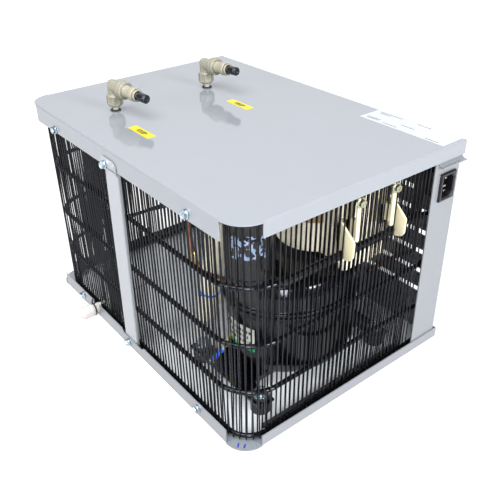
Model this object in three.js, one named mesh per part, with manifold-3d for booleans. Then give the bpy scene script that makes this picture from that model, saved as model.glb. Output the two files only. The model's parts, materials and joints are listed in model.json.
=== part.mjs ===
// Under-counter water chiller with a wrap-round wire-on-tube condenser.
// Millimetres, +Z up. Origin: middle of the underside of the base tray.
// -Y is the long front face with the strap and the drain, +X the side with the mains inlet.
import * as THREE from "three";
import { mergeVertices } from "three/addons/utils/BufferGeometryUtils.js";
import Module from "manifold-3d";

const wasm = await Module();
wasm.setup();

// ---- overall
const GAP = 0.3;
const SHEET = 1.2;
const HEIGHT = 249;

// ---- lid
const LID_W = 406;
const LID_D = 285;
const LID_CORNER_R = 27;
const LID_FRONT_FLANGE = 19.6;
const LID_SIDE_FLANGE = 14.7;
const LID_FLANGE_STOP = 25.5;

// ---- base tray
const BASE_W = 404;
const BASE_D = 288.4;
const BASE_CORNER_R = 24;
const BASE_FRONT_FLANGE = 18;
const BASE_SIDE_FLANGE = 13.4;
const BASE_FLANGE_STOP = 25.5;
const NOTCH_X = [-24, 17];
const NOTCH_DEPTH = 4.5;

// ---- front strap
const STRAP_W = 26;
const STRAP_X = -3.5;
const STRAP_RETURN = 3.8;
const STRAP_LEAN_DEG = 1.5;
const STRAP_TOP_Z = 240;

// ---- rear panel
const PANEL_W = 401;
const PANEL_RETURN_Y = 101;
const PANEL_BACK_Y = 141;
const PANEL_TOP_Z = 241;
const LIP_REACH = 6.4;
const LOUVRE_ROWS = 6;
const LOUVRE_FIRST_Z = 54.5;
const LOUVRE_PITCH = 24.7;
const LOUVRE_LENGTH = 108;
const LOUVRE_HEIGHT = 6;
const LOUVRE_COLUMNS = 3;
const SHELF_Z = 147.2;

// ---- condenser
const FRONT_PITCH = 6.09;
const SIDE_PITCH = 5.9;
const WIRE = 1.5;
const WIRE_OFFSET = 2.6;
const COND_R = 38;
const COND_X = 193.3;
const COND_Y = 134.5;
const COND_BOTTOM = 4;
const COND_TOP = 243.5;
const FRONT_GAPS = 51;
const CORNER_GAPS = 10;
const SIDE_GAPS = 33;
const SIDE_START = 1.3;
const ROWS = [6.5, 57.5, 112.8, 176.2, 240.1];
const BEND_Y = 128.8;
const TUBE_R = 2.2;

// ---- compressor
const COMP_X = 112;
const COMP_Y = -4;
const COMP_RX = 68;
const COMP_RY = 78;
const COMP_BOTTOM = 18;
const COMP_SEAM = 100;
const COMP_TOP = 143;
const FOOT_DX = 50.8;
const FOOT_DY = 85;
const GROMMET_H = 21;

// ---- start relay cover and filter drier
const RELAY_X = 131;
const RELAY_Y = -76;
const DRIER_X = -124;
const DRIER_Y = -100;

// ---- insulated tank and chilling coil
const TANK_X = 117;
const TANK_Y = 22;
const TANK_R = 41;
const TANK_BOTTOM = 148.8;
const TANK_TOP = 240;
const COIL_X = -62;
const COIL_Y = 48;
const COIL_R = 44;
const COIL_BOTTOM = 40;
const COIL_PITCH = 15;
const COIL_TURNS = 5;

// ---- water ports on the lid
const PORT_X = -100;
const PORT_FRONT_Y = -81;
const PORT_REAR_Y = 43.3;
const STEM_D = 6.35;
const ARM_Z = 277;
const PORTS = [
  { name: "front", y: PORT_FRONT_Y, yaw: 8.3, tilt: 2.9 },
  { name: "rear", y: PORT_REAR_Y, yaw: 4.5, tilt: -2.6 },
];
const COLLET_START = 35.3;
const PLUG_D = 9.525;
const PLUG_END = 57;
const PLUG_START = 19;

// ---- drain
const DRAIN_X = -15 * FRONT_PITCH;
const DRAIN_Z = 9.8;
const CAP_ROOT_Y = -150.2;
const DRAIN_D = 12.7;

// ---- mains inlet
const INLET_Y = 121.5;
const INLET_Z = 204.5;
const INLET_W = 22.7;
const INLET_H = 30.7;
const INLET_PROUD = 3;

// ---- condenser clips, placed between side wires counted from the front
const CLIPS = [
  { name: "front", screw: 15.5, blade: 13.5 },
  { name: "rear", screw: 23.5, blade: 25.5 },
];
const CLIP_Z = 227;
const CLIP_ROW = 3;

// ---- sheet-metal screws
const SCREW_WASHER_D = 9.6;
const LID_SCREWS = [
  { name: "left", x: -130, z: 232.5 },
  { name: "middle", x: -12, z: 231.5 },
  { name: "right", x: 131, z: 235 },
];
const BASE_SCREWS = [
  { name: "left", x: -127, z: 10.5 },
  { name: "middle", x: -12, z: 6.5 },
  { name: "right", x: 129, z: 9.5 },
];

// ---- helpers -------------------------------------------------------------------------
const DEG = Math.PI / 180;

// a closed body from a geometry, its corners snapped to a micrometre so that flush faces agree
function solid(geometry) {
  const bare = new THREE.BufferGeometry();
  const corners = geometry.getAttribute("position").clone();
  corners.array.forEach((v, i, all) => (all[i] = Math.round(v * 1000) / 1000));
  bare.setAttribute("position", corners);
  if (geometry.index) bare.setIndex(geometry.index.clone());
  const g = mergeVertices(bare, 1e-4);
  const mesh = new wasm.Mesh({
    numProp: 3,
    vertProperties: new Float32Array(g.attributes.position.array),
    triVerts: new Uint32Array(g.index.array),
  });
  return new wasm.Manifold(mesh);
}

function geometryOf(manifold) {
  const mesh = manifold.getMesh();
  const g = new THREE.BufferGeometry();
  g.setAttribute("position", new THREE.BufferAttribute(new Float32Array(mesh.vertProperties), 3));
  g.setIndex(new THREE.BufferAttribute(new Uint32Array(mesh.triVerts), 1));
  return g;
}

function union(...parts) {
  return parts.map((p) => (p.getAttribute ? solid(p) : p)).reduce((a, b) => a.add(b));
}

function cut(body, ...tools) {
  const start = body.getAttribute ? solid(body) : body;
  return tools.map((p) => (p.getAttribute ? solid(p) : p)).reduce((a, b) => a.subtract(b), start);
}

function box(x0, x1, y0, y1, z0, z1) {
  const g = new THREE.BoxGeometry(x1 - x0, y1 - y0, z1 - z0);
  return g.translate((x0 + x1) / 2, (y0 + y1) / 2, (z0 + z1) / 2);
}

// a rod along the named axis, from a to b on that axis, centred on (u, v) in the other two
function rod(axis, r, a, b, u, v, sides = 16) {
  const g = new THREE.CylinderGeometry(r, r, b - a, sides);
  if (axis === "z") return g.rotateX(90 * DEG).translate(u, v, (a + b) / 2);
  if (axis === "x") return g.rotateZ(90 * DEG).translate((a + b) / 2, u, v);
  return g.translate(u, (a + b) / 2, v);
}

// a body turned about Z from (radius, height) pairs
function turned(profile, sides = 24) {
  const points = profile.map(([r, z]) => new THREE.Vector2(r, z));
  return new THREE.LatheGeometry(points, sides).rotateX(90 * DEG);
}

// the same, turned about +X: the heights run along X
function turnedX(profile, sides = 24) {
  return turned(profile, sides).rotateY(90 * DEG);
}

function polygon(points) {
  const shape = new THREE.Shape();
  points.forEach(([x, y], i) => (i ? shape.lineTo(x, y) : shape.moveTo(x, y)));
  shape.closePath();
  return shape;
}

function prism(points, depth) {
  return new THREE.ExtrudeGeometry(polygon(points), { depth, bevelEnabled: false });
}

// an outline in X-Z given a thickness along Y from y0 to y1
function prismXZ(points, y0, y1) {
  return prism(points, y1 - y0).rotateX(90 * DEG).translate(0, y1, 0);
}

function arcPoints(cx, cy, r, from, to, steps) {
  const out = [];
  for (let i = 0; i <= steps; i++) {
    const a = (from + ((to - from) * i) / steps) * DEG;
    out.push([cx + r * Math.cos(a), cy + r * Math.sin(a)]);
  }
  return out;
}

// a plate outline with rounded front corners and square rear ones
function plateOutline(w, d, r) {
  const left = arcPoints(-w / 2 + r, -d / 2 + r, r, 180, 270, 7);
  const right = arcPoints(w / 2 - r, -d / 2 + r, r, 270, 360, 7);
  return [...left, ...right, [w / 2, d / 2], [-w / 2, d / 2]];
}

// sheet bent to a U in plan: two sides at x = +-halfWidth joined across the back
function bentSheet(halfWidth, frontY, backY, z0, z1) {
  const inside = halfWidth - SHEET;
  const outline = [
    [-halfWidth, frontY],
    [-inside, frontY],
    [-inside, backY - SHEET],
    [inside, backY - SHEET],
    [inside, frontY],
    [halfWidth, frontY],
    [halfWidth, backY],
    [-halfWidth, backY],
  ];
  return prism(outline, z1 - z0).translate(0, 0, z0);
}

// a path that steps from stop to stop
class Path extends THREE.Curve {
  constructor(stops) {
    super();
    this.stops = stops;
  }
  getPoint(t) {
    return this.stops[Math.round(t * (this.stops.length - 1))].clone();
  }
  getPointAt(t) {
    return this.getPoint(t);
  }
  getTangentAt(t) {
    const i = Math.round(t * (this.stops.length - 1));
    const before = this.stops[Math.max(i - 1, 0)];
    const after = this.stops[Math.min(i + 1, this.stops.length - 1)];
    return after.clone().sub(before).normalize();
  }
}

// a path through the points, its corners rounded to one radius or to a list with one for each
function route(points, radii, steps = 5) {
  const p = points.map((q) => new THREE.Vector3(...q));
  const stops = [p[0]];
  for (let i = 1; i < p.length - 1; i++) {
    const a = p[i - 1].clone().sub(p[i]).normalize();
    const b = p[i + 1].clone().sub(p[i]).normalize();
    const half = a.angleTo(b) / 2;
    const radius = Array.isArray(radii) ? radii[i - 1] : radii;
    const trim = radius / Math.tan(half);
    const centre = a.clone().add(b).normalize().multiplyScalar(radius / Math.sin(half)).add(p[i]);
    const from = p[i].clone().addScaledVector(a, trim).sub(centre);
    const to = p[i].clone().addScaledVector(b, trim).sub(centre);
    const turn = from.angleTo(to);
    for (let k = 0; k <= steps; k++) {
      const t = (turn * k) / steps;
      const s = from.clone().multiplyScalar(Math.sin(turn - t)).addScaledVector(to, Math.sin(t));
      stops.push(s.divideScalar(Math.sin(turn)).add(centre));
    }
  }
  stops.push(p[p.length - 1]);
  return new Path(stops);
}

function pipe(path, r, sides = 8) {
  const ring = [];
  for (let i = 0; i < sides; i++) {
    ring.push([r * Math.cos((2 * Math.PI * i) / sides), r * Math.sin((2 * Math.PI * i) / sides)]);
  }
  const steps = path.stops.length - 1;
  return new THREE.ExtrudeGeometry(polygon(ring), { steps, extrudePath: path, bevelEnabled: false });
}

const product = new THREE.Group();
product.name = "water_chiller";

function add(name, shape, color, roughness, metalness = 0, parent = product) {
  const geometry = shape.getAttribute ? shape : geometryOf(shape);
  const material = new THREE.MeshStandardMaterial({ color, roughness, metalness });
  const mesh = new THREE.Mesh(geometry, material);
  mesh.name = name;
  parent.add(mesh);
  return mesh;
}

const PAINT = 0xd4dbe3;
const BLACK = 0x17171b;
const ZINC = 0xb9c6cf;
const BEIGE = 0xd2ceb8;
const COPPER = 0xb36b43;
const FOAM = 0xe8e2d6;
const RUBBER = 0x1b1b1e;

// ---- base tray: floor, flanges on all four sides, bare rounded front corners -----------
const baseX = BASE_W / 2;
const baseY = BASE_D / 2;
const footSpots = [];
for (const sx of [-1, 1]) {
  for (const sy of [-1, 1]) {
    footSpots.push({ x: COMP_X + sx * FOOT_DX, y: COMP_Y + sy * FOOT_DY });
  }
}
const floor = prism(plateOutline(BASE_W, BASE_D, BASE_CORNER_R), SHEET);
const baseFlanges = [
  box(-baseX + BASE_FLANGE_STOP, baseX - BASE_FLANGE_STOP, -baseY, -baseY + SHEET, 0, BASE_FRONT_FLANGE),
  bentSheet(baseX, -baseY + BASE_FLANGE_STOP, baseY, 0, BASE_SIDE_FLANGE),
];
const slotTop = BASE_FRONT_FLANGE + 2;
const notch = prismXZ(
  [
    [NOTCH_X[0], BASE_FRONT_FLANGE - NOTCH_DEPTH],
    [NOTCH_X[1], BASE_FRONT_FLANGE - NOTCH_DEPTH],
    [NOTCH_X[1] + 6, slotTop],
    [NOTCH_X[0] - 3, slotTop],
  ],
  -baseY - 2,
  -baseY + 2
);
const drainSlot = union(
  rod("y", DRAIN_D / 2 + 0.6, -baseY - 2, -baseY + 2, DRAIN_X, DRAIN_Z),
  box(DRAIN_X - DRAIN_D / 2 - 0.6, DRAIN_X + DRAIN_D / 2 + 0.6, -baseY - 2, -baseY + 2, DRAIN_Z, slotTop)
);
const baseHoles = BASE_SCREWS.map((s) => rod("y", 1.9, -baseY - 2, -baseY + 2, s.x, s.z, 10));
const boltHoles = footSpots.map((f) => rod("z", 4.4, -1, 3, f.x, f.y, 12));
const tray = cut(union(floor, ...baseFlanges), notch, drainSlot, ...baseHoles, ...boltHoles);
add("base_tray", tray, PAINT, 0.38);

// ---- lid: plate with flanges, rounded front corners left open --------------------------
const lidX = LID_W / 2;
const lidY = LID_D / 2;
const lidPlate = prism(plateOutline(LID_W, LID_D, LID_CORNER_R), SHEET).translate(0, 0, HEIGHT - SHEET);
const frontZ = HEIGHT - LID_FRONT_FLANGE;
const sideZ = HEIGHT - LID_SIDE_FLANGE;
const lidFlanges = [
  box(-lidX + LID_FLANGE_STOP, lidX - LID_FLANGE_STOP, -lidY, -lidY + SHEET, frontZ, HEIGHT),
  bentSheet(lidX, -lidY + LID_FLANGE_STOP, lidY, sideZ, HEIGHT),
];
const lidHoles = LID_SCREWS.map((s) => rod("y", 1.9, -lidY - 2, -lidY + 2, s.x, s.z, 10));
const portHoles = PORTS.map((p) => rod("z", 5.2, HEIGHT - 5, HEIGHT + 5, PORT_X, p.y, 20));
add("lid", cut(union(lidPlate, ...lidFlanges), ...lidHoles, ...portHoles), PAINT, 0.3);

// ---- rear panel: louvred back, two returns with outward lips, tank shelf --------------
const panelX = PANEL_W / 2;
const panelZ = SHEET + GAP;
const lip = [
  [panelX - 0.2, 233.6],
  [panelX + 0.7, 233.6],
  [panelX + 1.7, 230.9],
  [panelX + 3.2, 229.7],
  [panelX + LIP_REACH, 229.7],
  [panelX + LIP_REACH, 228.5],
  [panelX + 2.6, 228.5],
  [panelX + 0.8, 229.9],
  [panelX - 0.2, 231.6],
];
const lipY = [PANEL_RETURN_Y + 4, PANEL_BACK_Y + 1];
const rightLip = prismXZ(lip, ...lipY);
const leftLip = prismXZ(lip.map(([x, z]) => [-x, z]).reverse(), ...lipY);
const louvres = [];
for (let row = 0; row < LOUVRE_ROWS; row++) {
  for (let col = 0; col < LOUVRE_COLUMNS; col++) {
    const x = (col - (LOUVRE_COLUMNS - 1) / 2) * (LOUVRE_LENGTH + 10);
    const z = LOUVRE_FIRST_Z + row * LOUVRE_PITCH;
    const dx = LOUVRE_LENGTH / 2;
    const dz = LOUVRE_HEIGHT / 2;
    louvres.push(box(x - dx, x + dx, PANEL_BACK_Y - 3, PANEL_BACK_Y + 2, z - dz, z + dz));
  }
}
const inletHole = box(panelX - 4, panelX + 4, INLET_Y - 10.3, INLET_Y + 10.3, INLET_Z - 13.8, INLET_Z + 13.8);
const panelSheet = union(
  bentSheet(panelX, PANEL_RETURN_Y, PANEL_BACK_Y, panelZ, PANEL_TOP_Z),
  box(70, 146, 6, PANEL_BACK_Y - 0.5, SHELF_Z, SHELF_Z + SHEET),
  box(70, 146, 6, 6 + SHEET, SHELF_Z - 2.5, SHELF_Z + SHEET),
  rightLip,
  leftLip
);
add("rear_panel", cut(panelSheet, inletHole, ...louvres), PAINT, 0.38);

// ---- front strap: shallow channel, its rounded head lapped over the lid flange ----------
const strapFace = -baseY + SHEET + GAP;
const strapHead = -lidY - GAP;
const strapBottom = SHEET + GAP + 1;
const strapHalf = STRAP_W / 2;
const joggle = frontZ - 0.6;
const channel = [
  box(-strapHalf, strapHalf, strapFace, strapFace + SHEET, strapBottom, joggle - 1.5),
  box(-strapHalf, -strapHalf + SHEET, strapFace, strapFace + STRAP_RETURN, strapBottom + 8, joggle - 4),
  box(strapHalf - SHEET, strapHalf, strapFace, strapFace + STRAP_RETURN, strapBottom + 8, joggle - 4),
];
const step = prism(
  [
    [strapFace + SHEET, joggle - 2.7],
    [strapHead, joggle],
    [strapHead, joggle + 1.2],
    [strapHead - SHEET, joggle + 1.2],
    [strapHead - SHEET, joggle - 0.2],
    [strapFace, joggle - 2.7],
  ],
  STRAP_W
);
step.rotateX(90 * DEG).rotateZ(90 * DEG).translate(-strapHalf, 0, 0);
const headOutline = [
  [-strapHalf - 4, joggle],
  [strapHalf, joggle],
  ...arcPoints(strapHalf - 7, STRAP_TOP_Z - 7, 7, 0, 90, 5),
  ...arcPoints(-strapHalf + 3, STRAP_TOP_Z - 7, 7, 90, 180, 5),
];
const head = prismXZ(headOutline, strapHead - SHEET, strapHead);
const strapBody = geometryOf(union(...channel, step, head));
strapBody.translate(0, 0, -HEIGHT / 2).rotateY(STRAP_LEAN_DEG * DEG).translate(STRAP_X, 0, HEIGHT / 2);
const strapHoles = [
  rod("y", 1.9, strapHead - 2, strapHead + 0.2, LID_SCREWS[1].x, LID_SCREWS[1].z, 10),
  rod("y", 1.9, strapFace - 0.3, strapFace + 3, BASE_SCREWS[1].x, BASE_SCREWS[1].z, 10),
];
add("front_strap", cut(strapBody, ...strapHoles), PAINT, 0.38);

// ---- condenser: two layers of upright wires either side of a serpentine tube ------------
const frontHalf = (FRONT_GAPS / 2) * FRONT_PITCH;
const pivotY = -COND_Y + COND_R;
const sideY = pivotY + SIDE_START;
const LAYERS = { outer: WIRE_OFFSET, inner: -WIRE_OFFSET - WIRE };

// upright wires a pitch apart along X, tied by a thin bar at the top and free below
function straightWires(gaps, pitch) {
  const slab = box(-WIRE / 2, gaps * pitch + WIRE / 2, 0, WIRE, COND_BOTTOM, COND_TOP);
  const slots = [];
  for (let i = 0; i < gaps; i++) {
    const x0 = i * pitch + WIRE / 2;
    const x1 = (i + 1) * pitch - WIRE / 2;
    slots.push(box(x0, x1, -1, WIRE + 1, COND_BOTTOM - 1, COND_TOP - WIRE));
  }
  return geometryOf(cut(slab, ...slots));
}

// the wires round one front corner, from the first past the front to the first on the side
function cornerWires(side, inset) {
  const r0 = COND_R + inset;
  const r1 = r0 + WIRE;
  const at = (r, k) => {
    const a = (k / CORNER_GAPS) * 90 * DEG;
    const y = k === CORNER_GAPS ? sideY : pivotY - r * Math.cos(a);
    return [side * (frontHalf + r * Math.sin(a)), y];
  };
  const stations = [...Array(CORNER_GAPS).keys()].map((k) => k + 1);
  const bandIn = stations.map((k) => at(r0 + 0.25, k));
  const bandOut = stations.map((k) => at(r1 - 0.25, k)).reverse();
  const pieces = stations.slice(0, -1).map((k) => {
    const wire = box(-WIRE / 2, WIRE / 2, -r1, -r0, COND_BOTTOM, COND_TOP);
    return wire.rotateZ((side * k * 90 * DEG) / CORNER_GAPS).translate(side * frontHalf, pivotY, 0);
  });
  pieces.push(prism([...bandIn, ...bandOut], WIRE).translate(0, 0, COND_TOP - WIRE));
  return pieces;
}

for (const [layer, inset] of Object.entries(LAYERS)) {
  const front = straightWires(FRONT_GAPS, FRONT_PITCH).translate(-frontHalf, -COND_Y - inset - WIRE, 0);
  add(`wires_${layer}_front`, front, BLACK, 0.3, 0.2);
  for (const [name, side] of Object.entries({ left: -1, right: 1 })) {
    const flank = straightWires(SIDE_GAPS, SIDE_PITCH).rotateZ(90 * DEG);
    const farX = side > 0 ? COND_X + inset + WIRE : -COND_X - inset;
    flank.translate(farX, sideY, 0);
    add(`wires_${layer}_${name}`, union(flank, ...cornerWires(side, inset)), BLACK, 0.3, 0.2);
  }
}

const sideEnd = sideY + SIDE_GAPS * SIDE_PITCH;
const tubeRoute = [];
const tubeRadii = [];
ROWS.forEach((z, row) => {
  const side = row % 2 ? 1 : -1;
  const last = row === ROWS.length - 1;
  const start = row === 0 ? sideEnd + 3 : BEND_Y;
  const end = last ? sideEnd + 3 : BEND_Y;
  tubeRoute.push([side * COND_X, start, z]);
  tubeRoute.push([side * COND_X, -COND_Y, z]);
  tubeRoute.push([-side * COND_X, -COND_Y, z]);
  tubeRoute.push([-side * COND_X, end, z]);
  tubeRadii.push(COND_R, COND_R);
  if (!last) {
    const bend = (ROWS[row + 1] - z) / 2 - 0.3;
    tubeRadii.push(bend, bend);
  }
});
const topRow = ROWS[ROWS.length - 1];
const backY = 112;
// the outlet of the lowest row climbs behind the left return and crosses under the lid to the drier
const liquid = route(
  [
    [-COND_X, sideEnd + 2.5, ROWS[0]],
    [-COND_X, backY, ROWS[0]],
    [-COND_X + 14, backY, ROWS[0]],
    [-COND_X + 14, backY, 215],
    [DRIER_X, backY, 238],
    [DRIER_X, DRIER_Y, 238],
    [DRIER_X, DRIER_Y, 232.4],
  ],
  5,
  3
);
const serpentine = union(pipe(route(tubeRoute, tubeRadii, 4), TUBE_R, 6), pipe(liquid, TUBE_R, 6));
add("condenser_tube", serpentine, BLACK, 0.3, 0.2);

// ---- compressor ---------------------------------------------------------------------
function shell(profile) {
  const g = turned(profile, 28).scale(COMP_RX / COMP_RY, 1, 1);
  return g.translate(COMP_X, COMP_Y, 0);
}

const lowerProfile = [
  [0, COMP_BOTTOM],
  [52, COMP_BOTTOM],
  [68, COMP_BOTTOM + 6],
  [75, COMP_BOTTOM + 18],
  [75, COMP_SEAM - 6],
  [78, COMP_SEAM - 3],
  [78, COMP_SEAM],
  [0, COMP_SEAM],
];
const upperProfile = [
  [0, COMP_SEAM + GAP],
  [77, COMP_SEAM + GAP],
  [77, COMP_SEAM + 4],
  [74.5, COMP_SEAM + 5],
  [74, COMP_SEAM + 20],
  [69, COMP_SEAM + 31],
  [58, COMP_SEAM + 38],
  [36, COMP_SEAM + 42],
  [0, COMP_TOP],
];
add("compressor_lower", shell(lowerProfile), BLACK, 0.35, 0.2);
const suctionStub = rod("z", 4, COMP_SEAM + 20, COMP_TOP + 1, COMP_X - 48, COMP_Y - 24, 10);
const processStub = rod("z", 3, COMP_SEAM + 20, COMP_TOP + 1, COMP_X - 44, COMP_Y + 30, 8);
add("compressor_upper", union(shell(upperProfile), suctionStub, processStub), BLACK, 0.35, 0.2);

const footZ = COMP_BOTTOM - GAP - 2.5;
const feetPlates = [
  box(COMP_X - 30, COMP_X + 30, COMP_Y - FOOT_DY, COMP_Y + FOOT_DY, footZ, footZ + 2.5),
  ...[-1, 1].map((s) => {
    const y = COMP_Y + s * FOOT_DY;
    return box(COMP_X - FOOT_DX - 11, COMP_X + FOOT_DX + 11, y - 11, y + 11, footZ, footZ + 2.5);
  }),
];
const feetHoles = footSpots.map((f) => rod("z", 7, footZ - 3, footZ + 5, f.x, f.y, 12));
add("compressor_feet", cut(union(...feetPlates), ...feetHoles), BLACK, 0.4, 0.3);

footSpots.forEach((f, i) => {
  const grommet = turned(
    [
      [4.2, SHEET + GAP],
      [11, SHEET + GAP],
      [11, footZ - GAP],
      [6.6, footZ - GAP],
      [6.6, footZ + 2.5 + GAP],
      [9.5, footZ + 2.5 + GAP],
      [9.5, GROMMET_H],
      [4.2, GROMMET_H],
      [4.2, SHEET + GAP],
    ],
    12
  ).translate(f.x, f.y, 0);
  add(`foot_grommet_${i + 1}`, grommet, RUBBER, 0.8);
  const bolt = union(
    rod("z", 3.7, 0, GROMMET_H + 1, f.x, f.y, 8),
    rod("z", 8.5, GROMMET_H + GAP, GROMMET_H + 1.9, f.x, f.y, 12),
    rod("z", 6.6, GROMMET_H + 1.8, GROMMET_H + 7, f.x, f.y, 6)
  );
  add(`foot_bolt_${i + 1}`, bolt, ZINC, 0.35, 0.85);
});

// round black cover over the start relay and overload, on the front end of the compressor
const canProfile = [
  [0, 119],
  [13, 119],
  [13, 147],
  [22, 147],
  [24, 149],
  [24, 232],
  [21.5, 235],
  [0, 236],
];
const relayCan = turned(canProfile, 22).translate(RELAY_X, RELAY_Y, 0);
const domeClear = turned(
  upperProfile.map(([r, z]) => [r ? r + 0.6 : 0, z < COMP_SEAM + 1 ? z - 1 : z + 0.6]),
  28
);
domeClear.scale(COMP_RX / COMP_RY, 1, 1).translate(COMP_X, COMP_Y, 0);
add("relay_cover", cut(relayCan, domeClear), BLACK, 0.25);

// ---- refrigerant pipework -------------------------------------------------------------
const dropY = 108.4;
const discharge = route(
  [
    [COND_X, sideEnd + 3 + GAP, topRow],
    [COND_X, dropY, topRow],
    [COND_X - 11.3, dropY, topRow],
    [COND_X - 11.3, dropY, 124],
    [COMP_X + 52, dropY - 4, 110],
    [COMP_X + 52, COMP_Y + 62, 110],
  ],
  5,
  3
);
add("discharge_tube", pipe(discharge, 2.6, 6), COPPER, 0.35, 0.9);

const suction = route(
  [
    [COMP_X - 48, COMP_Y - 24, COMP_TOP + 1 + GAP],
    [COMP_X - 48, COMP_Y - 24, 206],
    [COMP_X - 36, COMP_Y - 72, 214],
    [COMP_X - 38, COMP_Y - 76, 150],
    [COMP_X - 50, COMP_Y - 76, 56],
    [COMP_X - 84, COMP_Y - 58, 50],
    [COMP_X - 84, COMP_Y + 90, 50],
  ],
  10,
  3
);
add("suction_line", pipe(suction, 9, 10), FOAM, 0.8);

const drierBody = turned(
  [
    [0, 148],
    [3, 148],
    [4, 154],
    [14, 164],
    [14, 222],
    [4, 232],
    [0, 232],
  ],
  16
).translate(DRIER_X, DRIER_Y, 0);
const capillary = route(
  [
    [DRIER_X, DRIER_Y, 150],
    [DRIER_X, DRIER_Y, 120],
    [DRIER_X + 16, DRIER_Y + 10, 112],
    [DRIER_X + 60, DRIER_Y + 60, 130],
    [DRIER_X + 150, DRIER_Y + 190, 136],
    [DRIER_X + 170, DRIER_Y + 215, 136],
  ],
  9,
  3
);
add("filter_drier", union(drierBody, pipe(capillary, 1.6, 5)), 0x5f2028, 0.5, 0.3);

// ---- insulated tank: moulded foam, round in front with a flat block at the side ---------
const tankFoam = union(
  rod("z", TANK_R, TANK_BOTTOM, TANK_TOP, TANK_X, TANK_Y, 32),
  box(TANK_X + 20, 176, 10, 67, TANK_BOTTOM, TANK_TOP - 6),
  box(166, 176, 10, 67, 136, TANK_BOTTOM + 1)
);
add("tank_insulation", tankFoam, FOAM, 0.85);

// ---- chilling coil in the left rear ------------------------------------------------------
const COIL_SIDES = 12;
const coilStops = [];
for (let i = 0; i <= COIL_TURNS * COIL_SIDES; i++) {
  const turn = i / COIL_SIDES;
  const a = turn * 2 * Math.PI;
  const x = COIL_X + COIL_R * Math.cos(a);
  const y = COIL_Y + COIL_R * Math.sin(a);
  coilStops.push(new THREE.Vector3(x, y, COIL_BOTTOM + turn * COIL_PITCH));
}
add("water_coil", pipe(new Path(coilStops), 4.75, 6), 0xcfd3d6, 0.4, 0.6);

// ---- water ports: grommet, stem, swivelling elbow, reducer, collet and plug ----------
const stemR = STEM_D / 2;
for (const port of PORTS) {
  const at = new THREE.Group();
  at.position.set(PORT_X, port.y, HEIGHT);
  product.add(at);
  const grommet = turned(
    [
      [3.6, -2.6],
      [6.2, -2.6],
      [6.2, -SHEET - GAP],
      [4.9, -SHEET - GAP],
      [4.9, GAP],
      [6.2, GAP],
      [5.4, 1.7],
      [3.6, 1.7],
      [3.6, -2.6],
    ],
    16
  );
  add(`lid_grommet_${port.name}`, grommet, RUBBER, 0.7, 0, at);

  const lean = new THREE.Group();
  lean.rotation.y = port.tilt * DEG;
  at.add(lean);
  add(`stem_${port.name}`, rod("z", stemR, -34, 14, 0, 0, 12), 0xf2f2ee, 0.35, 0, lean);

  const arm = new THREE.Group();
  arm.rotation.z = port.yaw * DEG;
  lean.add(arm);
  const axisZ = ARM_Z - HEIGHT;
  const nut = turned(
    [
      [0, 4.6],
      [5.5, 4.6],
      [5.5, 6.4],
      [8, 6.4],
      [9, 7.6],
      [9, 18.2],
      [7.8, 19.2],
      [0, 19.2],
    ],
    8
  );
  const armProfile = [
    [0, 0],
    [7, 0],
    [7, 11],
    [8.6, 13.2],
    [9.7, 14],
    [9.7, 17.6],
    [9.1, 18],
    [9.1, 18.8],
    [9.7, 19.2],
    [9.7, 22],
    [8.4, 22.6],
    [0, 22.6],
  ];
  const armBody = turnedX(armProfile, 20).translate(0, 0, axisZ);
  const corner = new THREE.SphereGeometry(7, 12, 8).translate(0, 0, axisZ);
  const leg = rod("z", 7, 19, axisZ, 0, 0, 20);
  const stemBore = rod("z", stemR + GAP, 3, 15, 0, 0, 12);
  const reducerBore = rod("x", 6.9 + GAP, 12, 25, 0, axisZ, 20);
  const elbow = cut(union(nut, leg, armBody, corner), stemBore, reducerBore);
  add(`elbow_${port.name}`, elbow, BEIGE, 0.45, 0, arm);

  const reducer = turnedX(
    [
      [0, 12.4],
      [6.7, 12.4],
      [6.7, 33.6],
      [7.5, 34.2],
      [7.5, 38.4],
      [6.9, 39],
      [0, 39],
    ],
    20
  ).translate(0, 0, axisZ);
  const plugR = PLUG_D / 2;
  const colletBore = rod("x", 5.9 + GAP, 33, 42, 0, axisZ, 16);
  const plugBore = rod("x", plugR + GAP, 17, 42, 0, axisZ, 16);
  add(`reducer_${port.name}`, cut(reducer, colletBore, plugBore), BEIGE, 0.45, 0, arm);

  const collet = turnedX(
    [
      [plugR + GAP, COLLET_START],
      [5.9, COLLET_START],
      [5.9, COLLET_START + 5.4],
      [6.6, COLLET_START + 5.8],
      [6.6, COLLET_START + 7.1],
      [plugR + GAP, COLLET_START + 7.1],
      [plugR + GAP, COLLET_START],
    ],
    16
  ).translate(0, 0, axisZ);
  add(`collet_${port.name}`, collet, 0xdedac6, 0.45, 0, arm);

  const plug = turnedX(
    [
      [0, PLUG_START],
      [plugR - 0.6, PLUG_START],
      [plugR, PLUG_START + 1],
      [plugR, PLUG_END - 1.2],
      [plugR - 0.9, PLUG_END],
      [0, PLUG_END],
    ],
    16
  ).translate(0, 0, axisZ);
  add(`plug_${port.name}`, plug, 0x1c2029, 0.4, 0, arm);
}

// ---- drain: translucent tube through the base slot, wire clamp and pull-off cap ---------
const drainR = DRAIN_D / 2;
const drainTube = cut(
  union(
    rod("y", drainR, -158, -139.4, DRAIN_X, DRAIN_Z, 16),
    rod("y", 1.6, -140, -60, DRAIN_X, DRAIN_Z + 4.7, 8)
  ),
  rod("y", drainR - 2.6, -160, -142, DRAIN_X, DRAIN_Z, 12)
);
add("drain_tube", drainTube, 0xe8e4e0, 0.4);
const clampRing = cut(
  rod("y", drainR + 1.9, -149.5, -146.5, DRAIN_X, DRAIN_Z, 16),
  rod("y", drainR + GAP, -152, -146, DRAIN_X, DRAIN_Z, 16)
);
const clampEars = [-1, 1].map((side) => {
  const x = DRAIN_X + 2 + side * 2.4;
  return box(x - 0.8, x + 0.8, -149.2, -146.8, DRAIN_Z + drainR, DRAIN_Z + 13.5);
});
add("drain_clamp", union(clampRing, ...clampEars), BLACK, 0.4, 0.5);
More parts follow.
